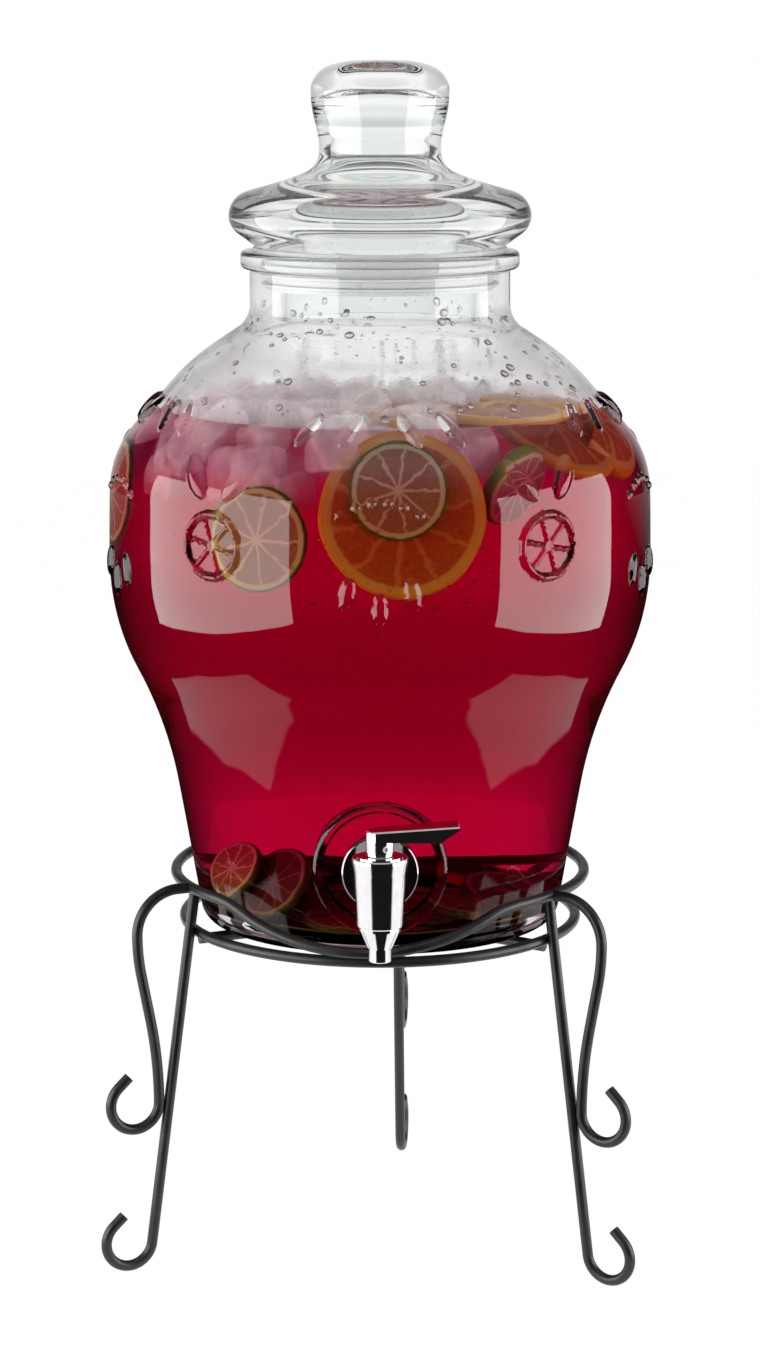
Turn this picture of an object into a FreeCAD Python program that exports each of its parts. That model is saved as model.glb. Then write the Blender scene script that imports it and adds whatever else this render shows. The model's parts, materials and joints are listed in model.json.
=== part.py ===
# Glass drink dispenser: a blown glass jar on a wire stand, with a hollow glass lid and a quarter-turn tap.
# Millimetres, +Z up. The origin lies on the table under the jar's axis, and the tap faces -Y.
import FreeCAD, Part
import math
import os

V = FreeCAD.Vector
UP = V(0, 0, 1)

# Stand: one wire size throughout, three legs 120 degrees apart, turned a little against the tap
wire_d = 5.0
base_ring_z = 159.4
base_ring_gap = 5.3
gallery_ring_step = 4.0
gallery_rise = 22.1
gallery_dip = 17.0
gallery_dip_half_angle = 40.5
gallery_path_step = 6.0
leg_lean = 7.9
curl_r = 11.5
curl_end = 48.0
curl_tip = 7.0
foot_flat = 0.3
leg_angles = {"left": 210.0, "right": 330.0, "rear": 90.0}
stand_turn = -5.05
scroll_shoulder_r = 20.5
scroll_upper_r = 100.0
scroll_run = 22.0
scroll_lower_r = 210.0
scroll_lean = 11.0
scroll_curl_r = 12.0
spoke_drop = 2.9

# Jar: stations of the outer face by radius, height above the station before and lean from the vertical
glass_wall = 4.8
glass_base = 9.0
heel_r = 7.0
foot_r = 85.0
foot_lean = 9.5
flare_r = 114.2
flare_h = 121.6
flare_lean = 27.4
belly_r = 126.3
belly_h = 50.5
shoulder_r = 114.3
shoulder_h = 61.8
shoulder_lean = 41.3
throat_r = 78.5
throat_h = 36.4
throat_lean = 55.1
neck_r = 60.2
neck_start_h = 19.4
neck_h = 24.6
collar_step = 4.2
collar_h = 8.0
collar_edge = 2.2
punt_h = 2.5
punt_rim = 18.0
pad_r = 30.5
pad_edge = 2.0
pad_glass = 5.0
pad_stand = 12.5

# Tap: shank through the pad, vertical barrel in front of it, heights from the shank's axis
tap_h = 43.7
tap_reach = 26.5
shank_r = 7.9
shank_bore_r = 4.6
shank_clearance = 0.5
shank_end = 6.0
flange_r = 17.4
flange_t = 3.4
flange_edge = 1.2
neck_tube_r = 8.4
gasket_t = 1.6
gasket_r = 15.4
inner_gasket_r = 13.6
washer_t = 1.2
washer_r = 13.2
nut_af = 24.0
nut_t = 8.0
nut_sides = 6
nut_chamfer = 1.0
barrel_up = 13.2
barrel_down = 18.2
barrel_rim_w = 0.9
barrel_rim_h = 1.8
barrel_rim_cone = 5.4
barrel_top_r = 11.6
barrel_bottom_r = 10.3
barrel_bore_r = 8.0
barrel_edge = 0.5
cone_top_r = 9.3
cone_rim_h = 1.5
cone_h = 9.6
cone_bottom_r = 5.6
nozzle_h = 6.4
nozzle_r = 5.0
nozzle_bore_r = 3.4
nozzle_edge = 0.4
spigot_h = 4.4
bonnet_r = 10.4
bonnet_t = 4.6
bonnet_stand = 0.5
running_gap = 0.05
rest_gap = 0.3

# Valve rotor: a hollow plug with one side port, turned a quarter turn by the lever
rotor_end_gap = 0.5
rotor_wall = 2.6
port_r = 4.2
spindle_r = 4.0
spindle_flat = 3.2
stop_r = 6.6
stop_w = 2.4
stop_h = 1.6
lever_turn = 90.0
oring_section = 1.6
oring_squeeze = 0.03
oring_step = 7.2
oring_groove_w = 1.9

# Lever: round hub with a flat blade that rises a little to an undercut tip
hub_r = 6.3
hub_foot_r = 6.0
hub_h = 6.7
hub_lift = 0.4
blade_t = 4.2
blade_rise = 3.2
blade_l = 35.0
blade_undercut = 8.5
blade_root_w = 12.6
blade_tip_w = 15.0
blade_edge = 0.6
blade_nose = 1.6
grub_r = 1.5
grub_angle = -65.0
grub_h = 3.5

# Lid: stations of the outer face and of the hollow, by radius and height above the station before.
# A drop is measured down from the top, from the outer station or from the hollow's station above.
lid_h = 84.8
lid_seat_w = 9.0
lid_seat_lean = 52.7
lid_rim_r = 69.7
lid_rim_h = 14.3
brim_r = 44.6
brim_h = 15.8
brim_lean = 73.0
waist_r = 28.0
waist_h = 13.2
knob_r = 31.8
knob_drop = 14.0
crown_r = 23.5
crown_drop = 2.6
crown_lean = 70.2
plug_depth = 33.2
lid_wall = 4.8
knob_roof = 13.5
roof_edge_r = 19.0
roof_edge_drop = 1.6
roof_edge_lean = 70.0
cavity_r = 27.2
cavity_drop = 24.0
cavity_waist_r = 23.0
cavity_waist_drop = 2.5
cavity_brim_r = 34.5
cavity_brim_drop = 3.3
cavity_brim_lean = 68.0
cavity_shoulder_drop = 10.0
seal_room = 7.4
seal_t = 4.2
seal_flange_t = 1.6
seal_flange_w = 10.5
seal_depth = 18.7
seal_rib_depth = 7.2
seal_rib_step = 4.5
seal_rib_count = 3
seal_rib_h = 2.2
seal_gap = 0.3

# Values worked out from the driving ones
wire_r = wire_d / 2
base_ring_r = foot_r + base_ring_gap + wire_r
gallery_ring_r = base_ring_r + gallery_ring_step
gallery_ring_z = base_ring_z + gallery_rise
leg_slope = math.tan(math.radians(leg_lean))
leg_cos = math.cos(math.radians(leg_lean))
jar_bottom_z = base_ring_z - spoke_drop + wire_r + rest_gap
flare_z = jar_bottom_z + flare_h
belly_z = flare_z + belly_h
shoulder_z = belly_z + shoulder_h
throat_z = shoulder_z + throat_h
neck_start_z = throat_z + neck_start_h
jar_top_z = neck_start_z + neck_h
neck_end_z = jar_top_z - collar_h
neck_bore_r = neck_r - glass_wall
collar_r = neck_r + collar_step
pad_y = foot_r + pad_stand
tap_z = jar_bottom_z + tap_h
tap_y = -(pad_y + gasket_t + tap_reach)
flange_y = -(pad_y + gasket_t + flange_t)
pad_inner_y = -(pad_y - pad_glass)
nut_y = pad_inner_y + gasket_t + washer_t
shank_end_y = nut_y + nut_t + shank_end
barrel_top_z = tap_z + barrel_up
barrel_bottom_z = tap_z - barrel_down
cone_bottom_z = barrel_bottom_z - cone_h
nozzle_bottom_z = cone_bottom_z - nozzle_h
bonnet_top_z = barrel_top_z + bonnet_stand
bonnet_bottom_z = bonnet_top_z - bonnet_t
rotor_r = barrel_bore_r - running_gap
rotor_top_z = bonnet_bottom_z - rotor_end_gap
rotor_bottom_z = barrel_bottom_z + spigot_h + rest_gap
hub_bottom_z = bonnet_top_z + hub_lift
blade_bottom_z = hub_bottom_z + hub_h
blade_root_top_z = blade_bottom_z + blade_t
blade_tip_top_z = blade_root_top_z + blade_rise
grub_z = hub_bottom_z + grub_h
plug_r = neck_bore_r - seal_room
lid_seat_r = plug_r + lid_seat_w
lid_seat_z = jar_top_z + seal_flange_t
lid_top_z = lid_seat_z + lid_h
lid_rim_z = lid_seat_z + lid_rim_h
brim_z = lid_rim_z + brim_h
waist_z = brim_z + waist_h
cavity_brim_z = brim_z - cavity_brim_drop
cavity_shoulder_z = cavity_brim_z - cavity_shoulder_drop
plug_bottom_z = lid_seat_z - plug_depth


def face_of(edges):
    """A planar face inside edges that meet end to end."""
    return Part.Face(Part.Wire(Part.__sortEdges__(edges)))


def lines(*points):
    """Straight edges through points given as (radius, height)."""
    places = [V(r, 0, z) for r, z in points]
    return [Part.makeLine(a, b) for a, b in zip(places, places[1:])]


def tangent_arc(start, heading, end):
    """A circular edge that leaves its start on a heading, given as a unit vector."""
    chord = end - start
    turn = math.atan2(heading.x * chord.z - heading.z * chord.x, heading.dot(chord))
    if abs(turn) < 1e-4:
        return Part.makeLine(start, end)
    across = V(chord.z, 0, -chord.x)
    middle = (start + end) * 0.5 + across * (math.tan(turn / 2) / 2)
    return Part.Arc(start, middle, end).toShape()


def through(stations):
    """Tangent arcs, two between each pair of stations given as (radius, height, heading in degrees)."""
    edges = []
    for (r0, z0, heading0), (r1, z1, heading1) in zip(stations, stations[1:]):
        start, end = V(r0, 0, z0), V(r1, 0, z1)
        leave = rotated_in_plane(V(1, 0, 0), math.radians(heading0))
        arrive = rotated_in_plane(V(1, 0, 0), math.radians(heading1))
        gap = end - start
        along = gap.dot(leave + arrive)
        bend = 2 * (1 - leave.dot(arrive))
        if bend < 1e-9:
            reach = gap.dot(gap) / (4 * gap.dot(arrive))
        else:
            reach = (math.sqrt(along * along + bend * gap.dot(gap)) - along) / bend
        middle = (start + end + (leave - arrive) * reach) * 0.5
        edges.append(tangent_arc(start, leave, middle))
        back = tangent_arc(end, arrive * -1, middle)
        edges.append(back)
    return edges


def revolved(edges):
    """A solid of revolution about Z from a closed outline in the XZ plane."""
    return face_of(edges).revolve(V(0, 0, 0), UP, 360)


def ring_solid(inner_r, outer_r, bottom, top):
    """A plain washer about Z."""
    edges = lines((inner_r, bottom), (outer_r, bottom), (outer_r, top), (inner_r, top), (inner_r, bottom))
    return revolved(edges)


def rod_y(radius, start_y, end_y):
    """A cylinder on the tap's hole axis between two Y planes."""
    low, high = sorted((start_y, end_y))
    return Part.makeCylinder(radius, high - low, V(0, low, tap_z), V(0, 1, 0))


def turned(shape, angle):
    """A copy turned about Z."""
    copy = shape.copy()
    copy.rotate(V(0, 0, 0), UP, angle)
    return copy


def path(start, heading, steps):
    """Edges in the XZ plane from runs (length,) and turns (radius, degrees), left turns positive."""
    edges = []
    here = V(start[0], 0, start[1])
    angle = math.radians(heading)
    for step in steps:
        ahead = V(math.cos(angle), 0, math.sin(angle))
        if len(step) == 1:
            there = here + ahead * step[0]
            edges.append(Part.makeLine(here, there))
        else:
            radius, degrees = step
            side = math.copysign(1, degrees)
            centre = here + V(-math.sin(angle), 0, math.cos(angle)) * radius * side
            swing = math.radians(degrees)
            spoke = here - centre
            middle = centre + rotated_in_plane(spoke, swing / 2)
            there = centre + rotated_in_plane(spoke, swing)
            edges.append(Part.Arc(here, middle, there).toShape())
            angle += swing
        here = there
    return edges


def rotated_in_plane(vector, angle):
    """A vector of the XZ plane turned from X towards Z."""
    c, s = math.cos(angle), math.sin(angle)
    return V(vector.x * c - vector.z * s, 0, vector.x * s + vector.z * c)


def wire_along(edges):
    """Round wire swept along edges that follow each other."""
    spine = Part.Wire(edges)
    start = spine.Edges[0]
    begin = start.valueAt(start.FirstParameter)
    ahead = start.tangentAt(start.FirstParameter)
    section = Part.Wire(Part.makeCircle(wire_r, begin, ahead))
    return spine.makePipeShell([section], True, False)


def rounded_corners(points, share=0.45):
    """Edges through the first and last point, with an arc at each corner between."""
    edges = []
    last = points[0]
    for before, corner, after in zip(points, points[1:], points[2:]):
        back = before - corner
        on = after - corner
        reach = share * min(back.Length, on.Length)
        back.normalize()
        on.normalize()
        enter = corner + back * reach
        leave = corner + on * reach
        half = back.getAngle(on) / 2
        to_middle = back + on
        to_middle.normalize()
        radius = reach * math.tan(half)
        centre = corner + to_middle * (reach / math.cos(half))
        middle = centre - to_middle * radius
        edges.append(Part.makeLine(last, enter))
        edges.append(Part.Arc(enter, middle, leave).toShape())
        last = leave
    edges.append(Part.makeLine(last, points[-1]))
    return edges


# Stand

def base_ring():
    return turned(Part.makeTorus(base_ring_r, wire_r, V(0, 0, base_ring_z), UP), stand_turn)


def gallery_drop(angle):
    """How far the gallery ring hangs below its level part, by angle from the front."""
    share = min(1.0, abs(angle) / gallery_dip_half_angle)
    return gallery_dip * (1 - share * share)


def gallery_ring():
    """A ring that is level round the back and hangs in a swag under the tap."""
    half_steps = math.ceil((gallery_dip_half_angle + gallery_path_step) / gallery_path_step)
    corner_r = gallery_ring_r / math.cos(math.radians(gallery_path_step / 2))
    reach = half_steps * gallery_path_step
    front = -90.0 + stand_turn

    def place(radius, angle, z):
        around = math.radians(front + angle)
        return V(radius * math.cos(around), radius * math.sin(around), z)

    points = [place(gallery_ring_r, -reach, gallery_ring_z)]
    for index in range(2 * half_steps):
        angle = -reach + (index + 0.5) * gallery_path_step
        points.append(place(corner_r, angle, gallery_ring_z - gallery_drop(angle)))
    points.append(place(gallery_ring_r, reach, gallery_ring_z))
    swag = wire_along(rounded_corners(points))
    section = Part.Face(Part.Wire(Part.makeCircle(wire_r, points[-1], points[-1] - points[-2])))
    level = section.revolve(V(0, 0, 0), UP, 360 - 2 * reach)
    return swag.fuse(level).removeSplitter()


def leg_line_r(z):
    """Radius of a leg's centreline at a height, where it touches the base ring's outside."""
    return base_ring_r + wire_d / leg_cos + (base_ring_z - z) * leg_slope


def leg(gallery):
    """A straight rod from under the gallery ring to an outward foot curl, ground flat on the table."""
    curl_z = curl_r + wire_r - foot_flat
    tangent_z = curl_z - curl_r * math.sin(math.radians(leg_lean))
    run = (gallery_ring_z - tangent_z) / leg_cos
    top = (leg_line_r(gallery_ring_z), gallery_ring_z)
    sweep = 90 - leg_lean + 90 + curl_end
    rod = wire_along(path(top, leg_lean - 90, [(run,), (curl_r, sweep), (curl_tip,)]))
    width = 4 * base_ring_r
    table = Part.makeBox(width, width, wire_d, V(-width / 2, -width / 2, -wire_d))
    return largest(rod.cut(table).cut(gallery))


def scroll_steps():
    """The wire of a scroll after its first run, as runs and turns."""
    return [
        (scroll_shoulder_r, -90),
        (scroll_upper_r, -scroll_lean),
        (scroll_run,),
        (scroll_lower_r, scroll_lean),
        (scroll_curl_r, 180 + curl_end),
        (curl_tip,),
    ]


def scroll(gallery):
    """An S of wire that springs from the gallery ring and touches its leg where it curls out."""
    lean = math.radians(scroll_lean)
    curl_z = gallery_ring_z - scroll_shoulder_r - (scroll_upper_r + scroll_lower_r) * math.sin(lean)
    curl_z -= scroll_run * math.cos(lean)
    curl_centre_r = leg_line_r(curl_z) + (scroll_curl_r + wire_d) / leg_cos
    inward = (scroll_upper_r + scroll_lower_r) * (1 - math.cos(lean)) + scroll_run * math.sin(lean)
    start_r = curl_centre_r - scroll_curl_r + inward - scroll_shoulder_r
    first_run = start_r - gallery_ring_r
    steps = [(first_run,)] + scroll_steps()
    wire = wire_along(path((gallery_ring_r, gallery_ring_z), 0, steps))
    return largest(wire.cut(gallery))


def spoke():
    """A rod from inside the base ring to the middle, mitred against the two others."""
    z = base_ring_z - spoke_drop
    rod = Part.makeCylinder(wire_r, base_ring_r, V(0, 0, z), V(1, 0, 0))
    half = math.pi / len(leg_angles)
    reach = 2 * base_ring_r
    corners = [V(0, 0, 0), V(reach * math.cos(half), -reach * math.sin(half), 0)]
    corners += [V(reach * math.cos(half), reach * math.sin(half), 0), V(0, 0, 0)]
    sector = Part.Face(Part.makePolygon(corners)).extrude(V(0, 0, jar_top_z))
    ring = Part.makeTorus(base_ring_r, wire_r, V(0, 0, base_ring_z), UP)
    return largest(rod.common(sector).cut(ring))


def largest(shape):
    """The largest solid of a result."""
    return max(shape.Solids, key=lambda solid: solid.Volume)


# Jar

def jar_side(inset):
    """Stations of the jar's side from above the heel to the neck, moved in by a depth of glass."""
    stations = [
        (foot_r, jar_bottom_z + heel_r, 90 - foot_lean),
        (flare_r, flare_z, 90 - flare_lean),
        (belly_r, belly_z, 90),
        (shoulder_r, shoulder_z, 90 + shoulder_lean),
        (throat_r, throat_z, 90 + throat_lean),
        (neck_r, neck_start_z, 90),
    ]
    moved = []
    for r, z, heading in stations:
        turn = math.radians(heading)
        moved.append((r - inset * math.sin(turn), z + inset * math.cos(turn), heading))
    return moved


def jar_outer():
    bottom = jar_bottom_z
    flat_r = foot_r - heel_r
    rim = collar_r - collar_edge
    punt_r = flat_r - punt_rim
    punt = bottom + punt_h
    edges = lines((0, punt), (punt_r, punt), (punt_r + punt_h, bottom), (flat_r, bottom))
    edges += through([(flat_r, bottom, 0)] + jar_side(0))
    edges += lines((neck_r, neck_start_z), (neck_r, neck_end_z), (rim, neck_end_z))
    edges += through([(rim, neck_end_z, 0), (collar_r, neck_end_z + collar_edge, 90)])
    edges += lines((collar_r, neck_end_z + collar_edge), (collar_r, jar_top_z - collar_edge))
    edges += through([(collar_r, jar_top_z - collar_edge, 90), (rim, jar_top_z, 180)])
    edges += lines((rim, jar_top_z), (0, jar_top_z), (0, punt))
    return revolved(edges)


def jar_inner():
    floor = jar_bottom_z + glass_base
    side = jar_side(glass_wall)
    side[0] = (side[0][0], floor + heel_r, side[0][2])
    heel = side[0][0] - heel_r
    above = jar_top_z + wire_d
    edges = lines((0, floor), (heel, floor))
    edges += through([(heel, floor, 0)] + side)
    edges += lines((neck_bore_r, neck_start_z), (neck_bore_r, above), (0, above), (0, floor))
    return revolved(edges)


def glass_jar():
    """Blown jar with a flat pad moulded round the tap hole."""
    inside_r = pad_r - glass_wall
    pad = rod_y(pad_r, -pad_y, -pad_y / 2)
    pad = pad.makeFillet(pad_edge, [edge for edge in pad.Edges if at_plane(edge, -pad_y)])
    outer = jar_outer().fuse(pad)
    inner = jar_inner().fuse(rod_y(inside_r, pad_inner_y, -pad_y / 2))
    hole = rod_y(shank_r + shank_clearance, -2 * pad_y, pad_inner_y + glass_wall)
    return largest(outer.cut(inner).cut(hole))


def at_plane(edge, y):
    """Whether a round edge lies in a plane of constant Y."""
    box = edge.BoundBox
    return abs(box.YMin - y) < 1e-6 and abs(box.YMax - y) < 1e-6


# Tap fixed to the jar

def tap_body():
    """Barrel, shank and flange in one chromed casting, with the waterway through it."""
    barrel_rim_r = barrel_top_r + barrel_rim_w
    outline = lines(
        (0, barrel_bottom_z),
        (barrel_bottom_r - barrel_edge, barrel_bottom_z),
        (barrel_bottom_r, barrel_bottom_z + barrel_edge),
        (barrel_top_r, barrel_top_z - barrel_rim_h - barrel_rim_cone),
        (barrel_rim_r, barrel_top_z - barrel_rim_h),
        (barrel_rim_r, barrel_top_z - barrel_edge),
        (barrel_rim_r - barrel_edge, barrel_top_z),
        (0, barrel_top_z),
        (0, barrel_bottom_z),
    )
    barrel = revolved(outline)
    barrel.translate(V(0, tap_y, 0))
    neck = rod_y(neck_tube_r, tap_y, flange_y)
    flange = rod_y(flange_r, flange_y, flange_y + flange_t)
    flange = flange.makeFillet(flange_edge, [edge for edge in flange.Edges if at_plane(edge, flange_y)])
    shank = rod_y(shank_r, flange_y, shank_end_y)
    shank = shank.makeChamfer(nut_chamfer, [edge for edge in shank.Edges if at_plane(edge, shank_end_y)])
    bore = Part.makeCylinder(barrel_bore_r, barrel_top_z, V(0, tap_y, barrel_bottom_z), UP)
    seat = Part.makeCylinder(bonnet_r + running_gap, bonnet_t, V(0, tap_y, bonnet_bottom_z), UP)
    waterway = rod_y(shank_bore_r, tap_y, shank_end_y + shank_end)
    body = barrel.multiFuse([neck, flange, shank]).removeSplitter()
    return body.cut(bore).cut(seat).cut(waterway)


def tap_nozzle():
    """Cone and outlet tube, screwed up into the barrel."""
    spigot_r = barrel_bore_r - running_gap
    top = barrel_bottom_z + spigot_h
    outline = lines(
        (nozzle_bore_r, nozzle_bottom_z),
        (nozzle_r - nozzle_edge, nozzle_bottom_z),
        (nozzle_r, nozzle_bottom_z + nozzle_edge),
        (nozzle_r, cone_bottom_z - nozzle_edge),
        (cone_bottom_r, cone_bottom_z),
        (cone_top_r, barrel_bottom_z - cone_rim_h),
        (cone_top_r, barrel_bottom_z),
        (spigot_r, barrel_bottom_z),
        (spigot_r, top),
        (spigot_r - rotor_wall, top),
        (spigot_r - rotor_wall, barrel_bottom_z),
        (nozzle_bore_r, cone_bottom_z),
        (nozzle_bore_r, nozzle_bottom_z),
    )
    nozzle = revolved(outline)
    nozzle.translate(V(0, tap_y, 0))
    return nozzle


def bonnet():
    """Gland ring over the rotor, with a quarter-turn slot for the rotor's stop."""
    ring = ring_solid(spindle_r + running_gap, bonnet_r, bonnet_bottom_z, bonnet_top_z)
    inner = stop_r - stop_w / 2 - running_gap
    outer = math.hypot(stop_r + stop_w / 2, stop_w / 2) + running_gap
    half = math.degrees(math.asin((stop_w / 2 + running_gap) / (stop_r - stop_w / 2)))
    roof = bonnet_bottom_z + stop_h + rest_gap
    face = face_of(lines(
        (inner, bonnet_bottom_z),
        (outer, bonnet_bottom_z),
        (outer, roof),
        (inner, roof),
        (inner, bonnet_bottom_z),
    ))
    slot = face.revolve(V(0, 0, 0), UP, lever_turn + 2 * half)
    slot.rotate(V(0, 0, 0), UP, -lever_turn - half)
    part = ring.cut(slot)
    part.translate(V(0, tap_y, 0))
    return part


def gasket_ring(radius, start_y, thickness):
    """A flat ring on the shank."""
    return rod_y(radius, start_y, start_y + thickness).cut(rod_y(shank_r, start_y, start_y + thickness))


def shank_nut():
    """Nut that clamps the tap from inside the jar, its corners chamfered on the outer face."""
    corner = nut_af / 2 / math.cos(math.pi / nut_sides)
    points = []
    for index in range(nut_sides + 1):
        turn = 2 * math.pi * (index + 0.5) / nut_sides
        points.append(V(corner * math.cos(turn), nut_y, tap_z + corner * math.sin(turn)))
    block = Part.Face(Part.makePolygon(points)).extrude(V(0, nut_t, 0))
    cone_start = V(0, nut_y + nut_t - nut_chamfer, tap_z)
    cone = Part.makeCone(corner, corner - 2 * nut_chamfer, 2 * nut_chamfer, cone_start, V(0, 1, 0))
    barrel = rod_y(corner, nut_y, nut_y + nut_t - nut_chamfer).fuse(cone)
    return block.common(barrel).cut(rod_y(shank_r, nut_y - nut_t, nut_y + 2 * nut_t))


# Turning parts of the tap

def oring_r():
    """Radius of an O-ring's centreline, a little squeezed against the barrel."""
    return rotor_r + oring_squeeze - oring_section / 2


def oring_heights():
    return (tap_z - oring_step, tap_z + oring_step)


def valve_rotor():
    """Hollow plug open below, with a side port, a stop lug and a flatted spindle."""
    body = Part.makeCylinder(rotor_r, rotor_top_z - rotor_bottom_z, V(0, 0, rotor_bottom_z), UP)
    spindle = Part.makeCylinder(spindle_r, blade_bottom_z - rotor_top_z, V(0, 0, rotor_top_z), UP)
    width = 2 * spindle_r
    flat = Part.makeBox(width, width, blade_bottom_z, V(spindle_flat, -spindle_r, hub_bottom_z))
    lug = Part.makeBox(stop_w, stop_w, stop_h, V(stop_r - stop_w / 2, -stop_w / 2, rotor_top_z))
    hollow_h = tap_z + port_r + rotor_wall / 2 - rotor_bottom_z
    hollow = Part.makeCylinder(rotor_r - rotor_wall, hollow_h, V(0, 0, rotor_bottom_z), UP)
    port = Part.makeCylinder(port_r, barrel_bore_r, V(0, 0, tap_z), V(-1, 0, 0))
    rotor = body.multiFuse([spindle.cut(flat), lug])
    groove_r = oring_r() - oring_section / 2
    for z in oring_heights():
        groove = ring_solid(groove_r, barrel_bore_r, z - oring_groove_w / 2, z + oring_groove_w / 2)
        rotor = rotor.cut(groove)
    rotor = rotor.cut(hollow).cut(port)
    rotor.translate(V(0, tap_y, 0))
    return rotor


def rotor_oring(z):
    return Part.makeTorus(oring_r(), oring_section / 2, V(0, tap_y, z), UP)


def lever():
    """Hub on the spindle with a flat blade, its tip cut back underneath."""
    hub = Part.makeCone(hub_foot_r, hub_r, blade_bottom_z - hub_bottom_z, V(0, 0, hub_bottom_z), UP)
    side = face_of(lines(
        (-hub_r, blade_bottom_z),
        (blade_l - blade_undercut, blade_bottom_z),
        (blade_l, blade_tip_top_z - blade_nose),
        (blade_l, blade_tip_top_z),
        (-hub_r, blade_root_top_z),
        (-hub_r, blade_bottom_z),
    ))
    slab = side.extrude(V(0, blade_tip_w, 0))
    slab.translate(V(0, -blade_tip_w / 2, 0))
    root, tip = blade_root_w / 2, blade_tip_w / 2
    plan = Part.Wire([
        Part.makeLine(V(0, -root, 0), V(blade_l, -tip, 0)),
        Part.makeLine(V(blade_l, -tip, 0), V(blade_l, tip, 0)),
        Part.makeLine(V(blade_l, tip, 0), V(0, root, 0)),
        Part.Arc(V(0, root, 0), V(-root, 0, 0), V(0, -root, 0)).toShape(),
    ])
    blade = slab.common(Part.Face(plan).extrude(V(0, 0, lid_top_z)))
    blade = blade.makeChamfer(blade_edge, [edge for edge in blade.Edges if on_blade_top(edge)])
    spindle_hole = Part.makeCylinder(spindle_r + running_gap, blade_bottom_z, V(0, 0, 0), UP)
    width = 2 * spindle_r
    key = Part.makeBox(width, width, blade_bottom_z, V(spindle_flat + running_gap, -spindle_r, 0))
    handle = hub.fuse(blade).removeSplitter().cut(spindle_hole.cut(key)).cut(grub_rod(2 * hub_r))
    handle.translate(V(0, tap_y, 0))
    return handle


def on_blade_top(edge):
    """Whether both ends of an edge lie in the blade's sloping upper face."""
    slope = (blade_tip_top_z - blade_root_top_z) / (blade_l + hub_r)
    ends = [vertex.Point for vertex in edge.Vertexes]
    return all(abs(p.z - blade_root_top_z - slope * (p.x + hub_r)) < 1e-4 for p in ends)


def grub_direction():
    turn = math.radians(grub_angle)
    return V(math.cos(turn), math.sin(turn), 0)


def grub_rod(length):
    """A rod from the spindle outwards through the hub, where the grub screw sits."""
    ahead = grub_direction()
    return Part.makeCylinder(grub_r, length - spindle_r, V(0, 0, grub_z) + ahead * spindle_r, ahead)


def lever_grub_screw():
    """Set screw with a round socket, flush in the hub."""
    ahead = grub_direction()
    screw = grub_rod(hub_foot_r).cut(Part.makeCylinder(spindle_r + running_gap, jar_top_z))
    mouth = V(0, 0, grub_z) + ahead * (hub_foot_r - grub_r / 2)
    screw = screw.cut(Part.makeCylinder(grub_r / 2, grub_r, mouth, ahead))
    screw.translate(V(0, tap_y, 0))
    return screw


# Lid

def lid_glass():
    """Pressed lid: knob, rim and plug around one hollow that is open below."""
    bore_r = plug_r - lid_wall
    roof_z = lid_top_z - knob_roof
    edges = lines((bore_r, plug_bottom_z), (plug_r, plug_bottom_z), (plug_r, lid_seat_z))
    edges += lines((plug_r, lid_seat_z), (lid_seat_r, lid_seat_z))
    edges += through([
        (lid_seat_r, lid_seat_z, 90 - lid_seat_lean),
        (lid_rim_r, lid_rim_z, 90),
        (brim_r, brim_z, 90 + brim_lean),
        (waist_r, waist_z, 90),
        (knob_r, lid_top_z - knob_drop, 90),
        (crown_r, lid_top_z - crown_drop, 90 + crown_lean),
        (0, lid_top_z, 180),
    ])
    edges += lines((0, lid_top_z), (0, roof_z))
    edges += through([
        (0, roof_z, 0),
        (roof_edge_r, roof_z - roof_edge_drop, roof_edge_lean - 90),
        (cavity_r, lid_top_z - cavity_drop, -90),
        (cavity_waist_r, waist_z - cavity_waist_drop, -90),
        (cavity_brim_r, cavity_brim_z, cavity_brim_lean - 90),
        (bore_r, cavity_shoulder_z, -90),
    ])
    edges += lines((bore_r, cavity_shoulder_z), (bore_r, plug_bottom_z))
    return revolved(edges)


def lid_seal():
    """Soft ring round the plug: a flange under the lid and ribs against the neck."""
    rib_r = neck_bore_r - seal_gap
    sleeve_r = plug_r + seal_t
    flange_outer_r = plug_r + seal_flange_w
    bottom = lid_seat_z - seal_depth
    half = seal_rib_h / 2
    points = [(plug_r, lid_seat_z), (plug_r, bottom), (sleeve_r, bottom)]
    for index in reversed(range(seal_rib_count)):
        z = lid_seat_z - seal_rib_depth - index * seal_rib_step
        points += [(sleeve_r, z - half), (rib_r, z - half / 2), (rib_r, z + half / 2), (sleeve_r, z + half)]
    points += [(sleeve_r, jar_top_z), (flange_outer_r, jar_top_z)]
    points += [(flange_outer_r, lid_seat_z), (plug_r, lid_seat_z)]
    return revolved(lines(*points))


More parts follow.
